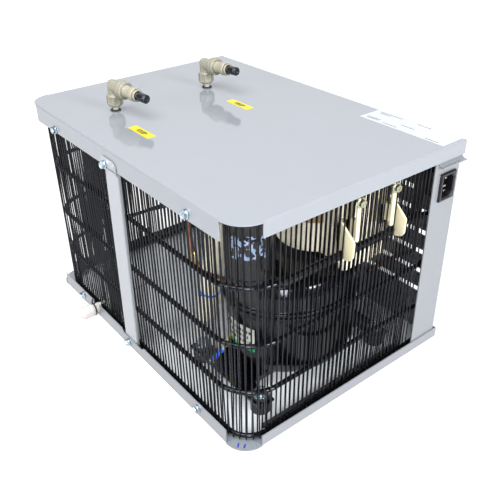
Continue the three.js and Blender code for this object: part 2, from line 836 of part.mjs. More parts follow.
const capProfile = [
  [drainR + GAP, 0],
  [drainR + 1.5, 0],
  [drainR + 1.5, 12.5],
  [drainR - 0.2, 16],
  [drainR - 3, 17.6],
  [0, 18],
  [0, 15.5],
  [drainR + GAP, 15.5],
  [drainR + GAP, 0],
];
const cap = turned(capProfile, 16).rotateX(90 * DEG).translate(DRAIN_X, CAP_ROOT_Y, DRAIN_Z);
add("drain_cap", cap, 0xf0e6e4, 0.4);

// ---- mains inlet --------------------------------------------------------------------
const inletFace = panelX + INLET_PROUD;
const flangePlate = box(
  panelX + GAP,
  inletFace,
  INLET_Y - INLET_W / 2,
  INLET_Y + INLET_W / 2,
  INLET_Z - INLET_H / 2,
  INLET_Z + INLET_H / 2
);
const inletBody = box(panelX - 24, panelX + 1, INLET_Y - 9.9, INLET_Y + 9.9, INLET_Z - 13.4, INLET_Z + 13.4);
const socketOutline = [
  [-8.2, -12],
  [4.2, -12],
  [8.2, -8],
  [8.2, 8],
  [4.2, 12],
  [-8.2, 12],
];
const socket = prism(socketOutline, 20);
socket.rotateX(90 * DEG).rotateZ(90 * DEG).translate(inletFace - 17.4, INLET_Y, INLET_Z);
const pinSlots = [-7, 0, 7].map((dz, i) => {
  const dy = i === 1 ? -2 : 2;
  const y = INLET_Y + dy;
  const z = INLET_Z + dz;
  return box(panelX - 30, panelX - 10, y - 2.3, y + 2.3, z - 1.3, z + 1.3);
});
add("inlet_housing", cut(union(flangePlate, inletBody), socket, ...pinSlots), 0x202024, 0.45);
const pins = [-7, 0, 7].map((dz, i) => {
  const y = INLET_Y + (i === 1 ? -2 : 2);
  const z = INLET_Z + dz;
  const tip = i === 1 ? inletFace - 3 : inletFace - 5;
  return box(panelX - 26.8, tip, y - 2, y + 2, z - 1, z + 1);
});
const carrier = box(panelX - 26.8, panelX - 24.3, INLET_Y - 7, INLET_Y + 7, INLET_Z - 10, INLET_Z + 10);
add("inlet_pins", union(carrier, ...pins), 0xcfd3d6, 0.3, 0.9);

const wiring = route(
  [
    [panelX - 27.2, INLET_Y, INLET_Z],
    [166, INLET_Y, INLET_Z],
    [166, INLET_Y, 160],
    [166, 92, 160],
    [181, 82, 160],
    [181, RELAY_Y, 160],
    [RELAY_X + 24 + GAP, RELAY_Y, 160],
  ],
  5,
  3
);
add("mains_wiring", pipe(wiring, 2.6, 6), BLACK, 0.5);

// ---- condenser clips and their screws --------------------------------------------------
// each clip backs the wires with a plate, comes out between them as a narrow bar under the
// screw and as a thin blade to one side, and hooks over a row of the tube
const clipBack = COND_X - WIRE_OFFSET - WIRE - 0.4;
const clipFront = COND_X + WIRE_OFFSET + WIRE + GAP;
const barFace = clipFront + 2.5;
const hookR = TUBE_R + 0.4;
for (const clip of CLIPS) {
  const screwY = sideY + clip.screw * SIDE_PITCH;
  const bladeY = sideY + clip.blade * SIDE_PITCH;
  const lo = Math.min(bladeY - 1.25, screwY - 5);
  const hi = Math.max(bladeY + 1.25, screwY + 5);
  const blade = prismXZ(
    [
      [clipBack - 3.5, 172],
      [196, 170],
      [200, 170.6],
      [204.8, 172.6],
      [207, 176],
      [207.5, 180],
      [207.6, 192.5],
      [191, 207],
      [clipBack - 3.5, 208],
    ],
    bladeY - 1.25,
    bladeY + 1.25
  );
  const plate = box(clipBack - 3.5, clipBack, screwY - 5, screwY + 5, 184, 233);
  const web = box(clipBack - 3.5, clipBack, lo, hi, 184, 207);
  const rib = box(clipBack - 1, clipFront + 1, screwY - 1.8, screwY + 1.8, 190, 208);
  const bar = box(clipFront, barFace, screwY - 2.4, screwY + 2.4, 186, 233);
  const pilot = rod("x", 1.7, clipBack - 6, barFace + 2, screwY, CLIP_Z, 8);
  const rowZ = ROWS[CLIP_ROW];
  const hook = [
    rod("y", hookR, lo - 1, hi + 1, COND_X, rowZ, 12),
    box(COND_X - hookR, COND_X + hookR, lo - 1, hi + 1, 165, rowZ),
  ];
  add(`clip_${clip.name}`, cut(union(plate, web, rib, bar, blade), pilot, ...hook), 0xddd8bd, 0.5);
  const screw = union(
    rod("x", 1.4, clipBack - 2.5, barFace + 1.5, screwY, CLIP_Z, 6),
    rod("x", 5.6, barFace + GAP, barFace + 1.4, screwY, CLIP_Z, 14),
    rod("x", 4, barFace + 1.3, barFace + 4.6, screwY, CLIP_Z, 6)
  );
  add(`clip_screw_${clip.name}`, screw, ZINC, 0.35, 0.85);
}

// ---- hexagon-headed sheet screws along the front --------------------------------------
function sheetScrew(x, z, face, reach) {
  return union(
    rod("y", 1.6, face - 1.5, face + reach, x, z, 6),
    rod("y", SCREW_WASHER_D / 2, face - 1.15, face - 0.05, x, z, 14),
    rod("y", 3.9, face - 4.3, face - 1.05, x, z, 6)
  );
}
for (const s of LID_SCREWS) {
  const face = s.name === "middle" ? strapHead - SHEET - GAP : -lidY - GAP;
  add(`lid_screw_${s.name}`, sheetScrew(s.x, s.z, face, 3.4), ZINC, 0.35, 0.85);
}
for (const s of BASE_SCREWS) {
  add(`base_screw_${s.name}`, sheetScrew(s.x, s.z, -baseY - GAP, 3.4), ZINC, 0.35, 0.85);
}

// ---- foam strip on the floor inside the right flange, and the labels --------------------
const strip = prism(
  [
    [176, -70],
    [187.6, -92],
    [187.6, 92],
    [176, 92],
  ],
  8
).translate(0, 0, SHEET + GAP);
add("floor_foam_strip", strip, 0x232326, 0.9);

function label(name, x0, x1, y0, y1, color) {
  add(name, box(x0, x1, y0, y1, HEIGHT + 0.05, HEIGHT + 0.35), color, 0.4);
}
label("label_rating", 90, 199, 109.5, lidY - 1.5, 0xf4f6f8);
label("label_port_front", -43.5, -3.5, -98, -87.5, 0xf6ea1c);
label("label_port_rear", -43.5, -4.5, 29.5, 40.5, 0xf6ea1c);

export default product;
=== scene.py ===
"""The looks of an under-counter water chiller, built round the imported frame.

Shapes are drawn in millimetres and scaled to metres once, when a piece is finished.
"""

import json
import math
import random

import bmesh
import bpy
from mathutils import Matrix, Vector


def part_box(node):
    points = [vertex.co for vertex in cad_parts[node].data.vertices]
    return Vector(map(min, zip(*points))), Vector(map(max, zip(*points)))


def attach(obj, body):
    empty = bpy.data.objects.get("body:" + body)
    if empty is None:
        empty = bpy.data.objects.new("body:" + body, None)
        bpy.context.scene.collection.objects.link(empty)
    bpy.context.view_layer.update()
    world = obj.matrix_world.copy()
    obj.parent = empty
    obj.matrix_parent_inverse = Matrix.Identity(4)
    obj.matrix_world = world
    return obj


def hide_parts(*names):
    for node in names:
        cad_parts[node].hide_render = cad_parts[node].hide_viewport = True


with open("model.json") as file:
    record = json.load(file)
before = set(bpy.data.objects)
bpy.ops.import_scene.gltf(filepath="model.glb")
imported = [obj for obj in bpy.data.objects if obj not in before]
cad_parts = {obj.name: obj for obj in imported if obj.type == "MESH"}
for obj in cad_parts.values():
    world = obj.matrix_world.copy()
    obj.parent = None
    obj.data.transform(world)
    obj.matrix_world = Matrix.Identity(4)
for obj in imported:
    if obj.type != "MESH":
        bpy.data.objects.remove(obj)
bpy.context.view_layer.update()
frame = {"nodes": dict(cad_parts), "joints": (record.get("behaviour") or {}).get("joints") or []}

MM = 0.001
SEED = 7
SHARP_EDGE = math.radians(38)

# ---- sizes in millimetres that several pieces share
SHEET = 1.2
BEND_R = 2.0
OVERLAP = 0.02
FLANGE_STOP = 25.5
LID_CORNER_R = 27.0
LID_FRONT_FLANGE = 19.6
LID_SIDE_FLANGE = 14.7
BASE_CORNER_R = 24.0
BASE_FRONT_FLANGE = 18.0
BASE_SIDE_FLANGE = 13.4
WIRE_R = 0.75
WIRE_LAYER = 3.35
PANEL_X = 200.5
CAGE_X = 193.3
CAGE_Y = 134.5
LEFT_CORNER_R = 38.0
BEND_Y = 128.8
TUBE_R = 2.5
TUBE_ROWS = (6.5, 57.5, 112.8, 176.2, 240.1)
ROW_CORNER_R = (27.0, 40.0, 42.0, 42.0, 42.0)
BARE_CORNER_X = 155.0
BARE_CORNER_Y = -96.5
DRIER_R = 14.0
WIRE_LEVEL = 34.0

# ---- the upright wires' numbers along a straight side, and the gaps between them round a corner
FRONT_FIRST = -36
FRONT_LAST = 15
SIDE_FIRST = -17
SIDE_WIRES = 34
RIGHT_GAPS = 11
LEFT_GAPS = 9


# ---------------------------------------------------------------- places in the frame
X, Y, Z = Vector((1, 0, 0)), Vector((0, 1, 0)), Vector((0, 0, 1))
HERE = Matrix.Identity(4)


def box_mm(node):
    """lowest and highest corner of a CAD node, in millimetres"""
    low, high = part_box(node)
    return low / MM, high / MM


def middle(node):
    low, high = box_mm(node)
    return (low + high) / 2


def drier_axis():
    low = box_mm("filter_drier")[0]
    return low.x + DRIER_R, low.y + DRIER_R


def joint(name):
    return next(j for j in frame["joints"] if j["name"] == name)


def axes(origin, u, v, w):
    """a matrix whose local X, Y and Z run along u, v and w from origin"""
    return Matrix([(*u, 0), (*v, 0), (*w, 0), (*origin, 1)]).transposed()


def shift(x, y, z):
    return Matrix.Translation((x, y, z))


def front_on(x=0.0, y=0.0, z=0.0):
    """local X to the right, local Y up and local Z out of the front"""
    return axes((x, y, z), X, Z, -Y)


def side_on(x=0.0, y=0.0, z=0.0):
    """local X to the rear, local Y up and local Z out of the right side"""
    return axes((x, y, z), Y, Z, X)


# ---------------------------------------------------------------- outlines and paths
def rounded(points, radius, steps, closed=True):
    """the points with corners rounded: one radius for all, or one for each"""
    pts = [Vector(p) for p in points]
    n = len(pts)
    radii = radius if isinstance(radius, (list, tuple)) else [radius] * n
    out = []
    for i, p in enumerate(pts):
        if radii[i] <= 0 or (not closed and i in (0, n - 1)):
            out.append(p)
            continue
        a = (pts[i - 1] - p).normalized()
        b = (pts[(i + 1) % n] - p).normalized()
        half = a.angle(b) / 2
        if abs(half - math.pi / 2) < 1e-4:
            out.append(p)
            continue
        trim = radii[i] / math.tan(half)
        centre = p + (a + b).normalized() * (radii[i] / math.sin(half))
        start = p + a * trim - centre
        end = p + b * trim - centre
        turn = start.angle(end)
        for k in range(steps + 1):
            t = turn * k / steps
            out.append(centre + (start * math.sin(turn - t) + end * math.sin(t)) / math.sin(turn))
    return out


def area(points):
    return sum(a[0] * b[1] - b[0] * a[1] for a, b in zip(points, points[1:] + points[:1])) / 2


def inset(points, d, closed=True):
    """the outline moved to its left by d"""
    out = []
    n = len(points)
    for i, p in enumerate(points):
        a = points[i - 1] if closed or i else None
        b = points[(i + 1) % n] if closed or i < n - 1 else None
        normals = []
        for e0, e1 in ((a, p), (p, b)):
            if e0 is not None and e1 is not None and (e1 - e0).length > 1e-7:
                e = (e1 - e0).normalized()
                normals.append(Vector((-e.y, e.x)))
        m = sum(normals, Vector((0, 0)))
        if len(normals) == 2:
            m = m / max(1 + normals[0].dot(normals[1]), 0.2)
        out.append(p + m * d)
    return out


def sheet_outline(points, thickness=SHEET, radius=BEND_R, steps=5):
    """a bent sheet's section: its outer face follows the points and the metal lies to their left"""
    outer = rounded([p[:2] for p in points], radius, steps, closed=False)
    return outer + inset(outer, thickness, closed=False)[::-1]


def rectangle(x0, x1, y0, y1):
    return [(x0, y0), (x1, y0), (x1, y1), (x0, y1)]


def circle(r, sides, phase=0.0):
    turns = [phase + 2 * math.pi * i / sides for i in range(sides)]
    return [Vector((r * math.cos(a), r * math.sin(a))) for a in turns]


def arc(r, start, end, steps, cx=0.0, cy=0.0):
    """points along an arc from one angle to another, in degrees"""
    turns = [math.radians(start + (end - start) * k / steps) for k in range(steps + 1)]
    return [Vector((cx + r * math.cos(a), cy + r * math.sin(a))) for a in turns]


# ---------------------------------------------------------------- mesh building
def loft(bm, rings, mat=0, start=True, ring_closed=False):
    """skins rings of points; a ring of one point is a tip, and start says if the first is capped"""
    made = [[bm.verts.new(p) for p in ring] for ring in rings]
    pairs = list(zip(made, made[1:]))
    if ring_closed:
        pairs.append((made[-1], made[0]))
    for a, b in pairs:
        n = max(len(a), len(b))
        if n == 1:
            continue
        for i in range(n):
            j = (i + 1) % n
            if len(a) == 1:
                corners = [a[0], b[j], b[i]]
            elif len(b) == 1:
                corners = [a[i], a[j], b[0]]
            else:
                corners = [a[i], a[j], b[j], b[i]]
            bm.faces.new(corners).material_index = mat
    if not ring_closed:
        for ring in (made[0][::-1], made[-1]) if start else (made[-1],):
            if len(ring) > 2:
                bm.faces.new(ring).material_index = mat


def slab(bm, outline, z0, z1, at=HERE, bevel=0.0, mat=0):
    """a prism, with softened edges where bevel is given"""
    pts = [Vector(p[:2]) for p in outline]
    if area(pts) < 0:
        pts.reverse()
    rings = [(pts, z0), (pts, z1)]
    if bevel > 0:
        curve = [math.radians(45 * k) for k in range(3)]
        rings = [(inset(pts, bevel * (1 - math.sin(t))), z0 + bevel * (1 - math.cos(t))) for t in curve]
        rings += [(ring, z0 + z1 - z) for ring, z in rings[::-1]]
    loft(bm, [[at @ Vector((p.x, p.y, z)) for p in ring] for ring, z in rings], mat)


def turned(bm, profile, at, sides, mat=0, closed=False, wave=None, stretch=1.0):
    """a body turned about local Z from (radius, height) pairs"""
    rings = []
    for r, h in profile:
        ring = []
        for i in range(sides if r > 1e-6 else 1):
            a = 2 * math.pi * i / sides
            rr = r + (wave(a, r, h) if wave else 0)
            ring.append(at @ Vector((stretch * rr * math.cos(a), rr * math.sin(a), h)))
        rings.append(ring)
    loft(bm, rings, mat, ring_closed=closed)


def sweep(bm, path, r, sides, mat=0):
    """a round-ended tube along the path"""
    pts = [Vector(p) for p in path]
    last = len(pts) - 1
    tangents = [(pts[min(i + 1, last)] - pts[max(i - 1, 0)]).normalized() for i in range(last + 1)]
    side = tangents[0].cross(Z if abs(tangents[0].z) < 0.9 else X).normalized()
    turns = [2 * math.pi * k / sides for k in range(sides)]
    rings = []
    for p, t in zip(pts, tangents):
        side = (side - t * side.dot(t)).normalized()
        up = t.cross(side)
        rings.append([p + (side * math.cos(a) + up * math.sin(a)) * r for a in turns])
    start, end = [[core + out * (r * 0.6) + (q - core) * 0.75 for q in ring] for core, out, ring in
                  ((pts[0], -tangents[0], rings[0]), (pts[-1], tangents[-1], rings[-1]))]
    loft(bm, [start, *rings, end], mat)


def pierced(bm, x0, x1, y0, y1, holes, z0, z1, at=HERE):
    """a flat sheet with rectangular holes (x0, x1, y0, y1)"""
    xs = sorted({x0, x1, *[h[0] for h in holes], *[h[1] for h in holes]})
    ys = sorted({y0, y1, *[h[2] for h in holes], *[h[3] for h in holes]})

    def open_at(i, j):
        if not (0 <= i < len(xs) - 1 and 0 <= j < len(ys) - 1):
            return True
        cx, cy = (xs[i] + xs[i + 1]) / 2, (ys[j] + ys[j + 1]) / 2
        return any(h[0] < cx < h[1] and h[2] < cy < h[3] for h in holes)

    corners = {}

    def vert(i, j, z):
        if (i, j, z) not in corners:
            corners[i, j, z] = bm.verts.new(at @ Vector((xs[i], ys[j], z)))
        return corners[i, j, z]

    for i in range(len(xs) - 1):
        for j in range(len(ys) - 1):
            if open_at(i, j):
                continue
            square = [(i, j), (i + 1, j), (i + 1, j + 1), (i, j + 1)]
            beside = [(i, j - 1), (i + 1, j), (i, j + 1), (i - 1, j)]
            bm.faces.new([vert(a, b, z1) for a, b in square])
            bm.faces.new([vert(a, b, z0) for a, b in square[::-1]])
            for k, neighbour in enumerate(beside):
                if open_at(*neighbour):
                    p, q = square[k], square[(k + 1) % 4]
                    bm.faces.new([vert(*p, z0), vert(*q, z0), vert(*q, z1), vert(*p, z1)])


def add_object(name, data):
    obj = bpy.data.objects.new(name, data)
    bpy.context.scene.collection.objects.link(obj)
    return obj


def piece(name, bm, materials, slot, *nodes, body="base", weighted=False):
    """finishes a mesh drawn in millimetres and hands it to its body"""
    bmesh.ops.scale(bm, vec=(MM, MM, MM), verts=bm.verts)
    bmesh.ops.recalc_face_normals(bm, faces=bm.faces)
    for face in bm.faces:
        face.smooth = True
    for edge in bm.edges:
        if len(edge.link_faces) == 2 and edge.calc_face_angle(0) > SHARP_EDGE:
            edge.smooth = False
    mesh = bpy.data.meshes.new(name)
    bm.to_mesh(mesh)
    bm.free()
    obj = add_object(name, mesh)
    for m in materials if isinstance(materials, list) else [materials]:
        mesh.materials.append(m)
    if weighted:
        obj.modifiers.new("even_normals", "WEIGHTED_NORMAL").keep_sharp = True
    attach(obj, body)
    if nodes:
        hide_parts(*nodes)


# ---------------------------------------------------------------- materials
def rgb(r, g, b):
    """linear colour from the 0 to 255 numbers of a paint chart"""
    shares = (r / 255, g / 255, b / 255)
    return tuple(c / 12.92 if c < 0.04 else ((c + 0.055) / 1.055) ** 2.4 for c in shares) + (1.0,)


def scaled(color, k):
    return tuple(min(c * k, 1.0) for c in color[:3]) + (1.0,)


class Shader:
    """a material built node by node on one Principled shader"""

    def __init__(self, name):
        self.material = bpy.data.materials.new(name)
        self.material.use_nodes = True
        self.tree = self.material.node_tree
        self.bsdf = next(n for n in self.tree.nodes if n.type == "BSDF_PRINCIPLED")
        self.place = self.add("ShaderNodeTexCoord").outputs["Object"]

    def add(self, kind, settings=None, **inputs):
        node = self.tree.nodes.new(kind)
        for key, value in (settings or {}).items():
            setattr(node, key, value)
        for key, value in inputs.items():
            self.feed(node.inputs[key.replace("_", " ")], value)
        return node

    def feed(self, socket, value):
        if isinstance(value, bpy.types.NodeSocket):
            self.tree.links.new(value, socket)
        else:
            socket.default_value = value

    def surface(self, **inputs):
        for key, value in inputs.items():
            self.feed(self.bsdf.inputs[key.replace("_", " ")], value)

    def stretched(self, up):
        """places whose height is multiplied"""
        return self.add("ShaderNodeMapping", Vector=self.place, Scale=(1, 1, up)).outputs[0]

    def noise(self, size_mm, detail, rough=0.55, where=None):
        """cloudy values of about this size"""
        return self.add("ShaderNodeTexNoise", Vector=where or self.place, Scale=1000.0 / size_mm,
                        Detail=detail, Roughness=rough).outputs[0]

    def cells(self, size_mm, feature="F1", where=None):
        return self.add("ShaderNodeTexVoronoi", {"feature": feature}, Vector=where or self.place,
                        Scale=1000.0 / size_mm).outputs["Distance"]

    def spread(self, value, low, high, from_low=0.3, from_high=0.7):
        return self.add("ShaderNodeMapRange", Value=value, From_Min=from_low, From_Max=from_high, To_Min=low,
                        To_Max=high).outputs[0]

    def math(self, how, a, *others):
        """joins all the values by one operation"""
        for b in others or [0.0]:
            node = self.add("ShaderNodeMath", {"operation": how})
            self.feed(node.inputs[0], a)
            self.feed(node.inputs[1], b)
            a = node.outputs[0]
        return a

    def mix(self, amount, a, b):
        return self.add("ShaderNodeMix", {"data_type": "RGBA"}, Factor=amount, A=a, B=b).outputs["Result"]

    def position(self):
        """the place on the object as separate x, y and z in metres"""
        return self.add("ShaderNodeSeparateXYZ", Vector=self.place).outputs

    def bump(self, height, depth_mm, below=None):
        node = self.add("ShaderNodeBump", Height=height, Distance=depth_mm * MM)
        if below is not None:
            self.feed(node.inputs["Normal"], below)
        return node.outputs[0]

    def edge_wear(self):
        """bright along worn edges"""
        return self.spread(self.add("ShaderNodeNewGeometry").outputs["Pointiness"], 0, 1, 0.52, 0.6)


def coated(name, color, rough, mottle, peel=0.012, peel_size=1.8, wear=0.0, dust=0.0, gloss=(0.8, 1.3),
           **extra):
    """paint or moulding: cloudy colour, uneven gloss, fine surface texture"""
    s = Shader(name)
    base = s.mix(s.spread(s.noise(38, 4), 0, 1), scaled(color, 1 - mottle), scaled(color, 1 + mottle))
    base = s.mix(s.spread(s.noise(1.1, 2), 0, 0.25), base, scaled(color, 1 - mottle))
    if wear:
        base = s.mix(s.math("MULTIPLY", s.edge_wear(), wear), base, scaled(color, 1.25))
    if dust:
        base = s.mix(s.spread(s.noise(0.9, 5, 0.7), 0, dust, 0.58, 0.75), base, (0.45, 0.44, 0.42, 1))
    s.surface(Roughness=s.spread(s.noise(22, 2), rough * gloss[0], rough * gloss[1], 0.2, 0.8))
    orange_peel = s.bump(s.noise(peel_size, 2), peel, s.bump(s.noise(14, 2), peel * 2))
    s.surface(Base_Color=base, Normal=orange_peel, **extra)
    return s.material


def plated(name, color, rough, tint=None, pits=0.01):
    """bare or plated metal with uneven tone"""
    s = Shader(name)
    base = s.mix(s.spread(s.noise(6, 4, 0.6), 0, 1), scaled(color, 0.86), scaled(color, 1.08))
    if tint:
        base = s.mix(s.spread(s.noise(3.5, 2), 0, 0.55), base, tint)
    s.surface(Base_Color=base, Metallic=1.0, Normal=s.bump(s.noise(0.8, 3, 0.6), pits))
    s.surface(Roughness=s.spread(s.noise(2.2, 4, 0.6), rough * 0.7, rough * 1.45))
    return s.material


def foamed(name, color, cell_mm, depth, mottle=0.1, glow=0.0):
    """foam: cells, skin and grubby patches; glow makes it give off light in its own colour, which is painted
    light
    """
    s = Shader(name)
    cells = s.cells(cell_mm)
    base = s.mix(s.spread(s.noise(26, 4), 0, 1), scaled(color, 1 - mottle), scaled(color, 1 + mottle * 0.5))
    base = s.mix(s.spread(cells, 0, 0.35, 0.2, 0.7), base, scaled(color, 0.8))
    # glow is painted light: the foam gives off a little light of its own, so it reads bright behind the wires
    s.surface(Base_Color=base, Roughness=0.85, Emission_Color=color, Emission_Strength=glow)
    s.surface(Normal=s.bump(cells, depth, s.bump(s.noise(9, 3), depth * 3)))
    return s.material


def milky(name, color, clear):
    """translucent plastic"""
    s = Shader(name)
    s.surface(Base_Color=s.mix(s.spread(s.noise(7, 3), 0, 1), scaled(color, 0.93), color))
    s.surface(Roughness=s.spread(s.noise(3, 3), 0.224, 0.364), Transmission_Weight=clear, IOR=1.48)
    s.surface(Subsurface_Weight=0.3, Subsurface_Radius=(0.004, 0.003, 0.003))
    s.surface(Normal=s.bump(s.noise(1.6, 2), 0.02))
    return s.material


def tipped_milky():
    """translucent white, faintly pink towards the closed end"""
    s = Shader("cap_milky")
    end = s.math("ADD", s.position()["Y"], s.math("MULTIPLY", s.noise(9, 2), 0.003))
    base = s.mix(s.spread(end, 1, 0, -0.168, -0.154), rgb(206, 204, 202), rgb(206, 176, 176))
    base = s.mix(s.spread(s.noise(5, 3), 0, 0.3), base, rgb(196, 192, 190))
    s.surface(Base_Color=base, Roughness=s.spread(s.noise(3, 3), 0.2, 0.3))
    s.surface(Subsurface_Weight=0.6, Subsurface_Radius=(0.006, 0.004, 0.004))
    s.surface(Transmission_Weight=0.06, IOR=1.48)
    s.surface(Normal=s.bump(s.noise(1.6, 2), 0.006))
    return s.material


def tray_floor_painted_light(inside, outside):
    """the tray's floor: painted light within the condenser, where the same grey sheet is coloured much paler,
    and the flange colour on the bare corners
    """
    s = Shader("tray_floor_painted_light")
    x, y, _ = s.position()
    dx = s.math("MAXIMUM", s.math("SUBTRACT", s.math("ABSOLUTE", x), BARE_CORNER_X * MM))
    dy = s.math("MAXIMUM", s.math("SUBTRACT", BARE_CORNER_Y * MM, y))
    apart = s.math("SQRT", s.math("ADD", s.math("MULTIPLY", dx, dx), s.math("MULTIPLY", dy, dy)))
    # the much paler colour inside the condenser is painted light on the floor
    base = s.mix(s.spread(apart, 0, 1, 0.036, 0.040), inside, outside)
    base = s.mix(s.spread(s.noise(38, 3), 0, 0.05), base, (0.4, 0.4, 0.4, 1))
    base = s.mix(s.spread(s.noise(0.9, 5, 0.7), 0, 0.06, 0.58, 0.75), base, (0.3, 0.29, 0.27, 1))
    s.surface(Base_Color=base, Roughness=s.spread(s.noise(22, 2), 0.27, 0.33))
    s.surface(Normal=s.bump(s.noise(1.8, 2), 0.003))
    return s.material


COOL = (0.85, 0.9, 1.0, 1)
LID_PAINT = coated("lid_paint", rgb(121, 125, 131), 0.07, mottle=0.012, peel=0.0012, peel_size=2.4, IOR=1.55)
# the tray floor's pale inside colour is painted light
FLOOR_PAINTED_LIGHT = tray_floor_painted_light(rgb(232, 235, 240), rgb(104, 110, 116))
# the strap is the panel's grey made lighter: painted light on the strap
STRAP_PAINTED_LIGHT = coated("strap_grey_painted_light", rgb(136, 139, 144), 0.24, mottle=0.02, peel=0.002, gloss=(0.95, 1.08))
PANEL_PAINT = coated("panel_paint", rgb(112, 115, 120), 0.24, mottle=0.02, peel=0.002, gloss=(0.95, 1.08))
ENAMEL = coated("black_enamel", (0.002, 0.002, 0.003, 1), 0.13, mottle=0.3, peel_size=2.5, dust=0.01,
                IOR=1.36, Specular_Tint=COOL)
SHELL_PAINT = coated("shell_paint", (0.001, 0.001, 0.0015, 1), 0.12, mottle=0.3, peel=0.014, peel_size=3.2,
                     dust=0.01, Specular_Tint=COOL)
RUBBER = coated("black_rubber", (0.006, 0.006, 0.007, 1), 0.55, 0.25, peel=0.03, peel_size=0.9, dust=0.04)
ZINC = plated("zinc_plate", (0.46, 0.52, 0.57, 1), 0.26, tint=(0.34, 0.50, 0.60, 1))
COPPER = plated("drawn_copper", (0.58, 0.25, 0.14, 1), 0.34, tint=(0.36, 0.14, 0.08, 1))
# a much darker copy of the copper: painted shade on the discharge pipe inside the cage
SHADED_COPPER = plated("copper_painted_shade", (0.10, 0.05, 0.035, 1), 0.5, tint=(0.05, 0.03, 0.025, 1))
YELLOW_ZINC = plated("yellow_zinc", (0.46, 0.45, 0.33, 1), 0.22, tint=(0.22, 0.27, 0.20, 1))
BRASS = plated("brazed_joint", (0.80, 0.58, 0.24, 1), 0.35, tint=(0.55, 0.33, 0.12, 1), pits=0.05)
STAINLESS = plated("drawn_stainless", (0.62, 0.63, 0.64, 1), 0.28)
NICKEL = plated("nickel_plate", (0.45, 0.44, 0.42, 1), 0.2)
ACETAL = coated("beige_acetal", rgb(122, 120, 107), 0.36, 0.035, peel_size=1.2, wear=0.35)
ACETAL_PALE = coated("pale_acetal", rgb(134, 131, 117), 0.33, 0.03, peel=0.01, peel_size=1.2, wear=0.35)
PLUG_BLACK = coated("plug_black", (0.004, 0.005, 0.009, 1), 0.28, mottle=0.25, peel=0.02, dust=0.02)
STEM_WHITE = milky("stem_white", rgb(190, 190, 184), 0.25)
CLIP_NYLON = coated("clip_nylon", rgb(186, 179, 150), 0.42, mottle=0.04, peel=0.02, peel_size=2, wear=0.6)
# the tank and sleeve foam glow a little: painted light that brightens them behind the wires
TANK_FOAM = foamed("tank_foam", rgb(243, 235, 216), 1.6, 0.05, mottle=0.06, glow=0.09)
SLEEVE_FOAM = foamed("sleeve_foam", rgb(240, 234, 216), 1.1, 0.08, mottle=0.06, glow=0.05)
STRIP_FOAM = foamed("strip_foam", (0.016, 0.016, 0.017, 1), 1.3, 0.25)
DRIER_RED = coated("drier_red", rgb(138, 34, 44), 0.42, mottle=0.15, peel=0.02, dust=0.1)
DRAIN_MILKY = milky("drain_milky", rgb(206, 203, 199), 0.2)
CAP_MILKY = tipped_milky()
INLET_BLACK = coated("inlet_black", (0.006, 0.006, 0.008, 1), 0.34, mottle=0.15, peel=0.02, peel_size=0.7)
CABLE_BLACK = coated("cable_black", (0.014, 0.014, 0.015, 1), 0.45, mottle=0.2, peel=0.02, dust=0.1)
CABLE_YELLOW = coated("cable_yellow", rgb(236, 216, 40), 0.4, mottle=0.1, peel=0.01)
TIE_BLUE = coated("tie_blue", rgb(36, 112, 250), 0.35, mottle=0.08, peel=0.01)
INK = coated("print_ink", (0.008, 0.008, 0.01, 1), 0.6, mottle=0.3, peel=0.0)
INK_BLUE = coated("pen_blue", rgb(22, 22, 140), 0.5, mottle=0.2, peel=0.0)
LABEL_GREY = coated("label_grey", rgb(176, 178, 172), 0.4, mottle=0.03, peel=0.003)
LABEL_WHITE = coated("label_white", rgb(161, 164, 170), 0.3, mottle=0.012, peel=0.003)
LABEL_YELLOW = coated("label_yellow", rgb(180, 168, 3), 0.35, mottle=0.02, peel=0.003)
LABEL_GREEN = coated("label_green", rgb(20, 140, 80), 0.35, mottle=0.05, peel=0.003)


def kraft_material():
    """brown card with fibres running along it"""
    s = Shader("kraft_card")
    fibres = s.noise(2.0, 5, 0.7, s.stretched(5))
    color = s.mix(s.spread(fibres, 0, 1), rgb(150, 122, 84), rgb(178, 148, 106))
    color = s.mix(s.spread(s.noise(18, 3), 0, 0.4), color, rgb(104, 82, 52))
    s.surface(Base_Color=color, Roughness=0.8, Normal=s.bump(fibres, 0.06))
    return s.material


def painted_reflection_film(centre, low, high):
    """black gloss with one patch of pale squiggles on the side away from the shell: painted reflections of
    the wires on the glossy can
    """
    s = Shader("relay_painted_reflection")
    shape = s.spread(s.cells(5.2, "SMOOTH_F1", s.stretched(0.8)), 1, 0, 0.40, 0.47)
    breaks = s.spread(s.noise(5.0, 1), 0, 1, 0.47, 0.51)
    x, y, z = s.position()
    along, away = 0.614, 0.789
    across = s.math("ADD", s.math("MULTIPLY", x, along), s.math("MULTIPLY", y, away))
    outward = s.math("SUBTRACT", s.math("MULTIPLY", x, away), s.math("MULTIPLY", y, along))
    line = along * centre.x + away * centre.y
    edge = away * centre.x - along * centre.y
    bounds = ((z, low, low + 1), (z, high, high - 1), (across, line - 17, line - 16),
              (across, line + 16, line + 15), (outward, edge, edge + 2))
    patch = [s.spread(value, 0, 1, start * MM, end * MM) for value, start, end in bounds]
    amount = s.math("MULTIPLY", shape, breaks, *patch)
    # the pale squiggles are painted reflections on the glossy can
    pale = s.mix(s.spread(s.noise(5, 2), 0, 1), rgb(176, 184, 200), rgb(110, 140, 180))
    s.surface(Base_Color=s.mix(amount, (0.010, 0.010, 0.012, 1), pale))
    s.surface(Roughness=s.spread(s.noise(8, 3), 0.10, 0.2), Normal=s.bump(s.noise(3, 2), 0.02))
    return s.material


KRAFT = kraft_material()


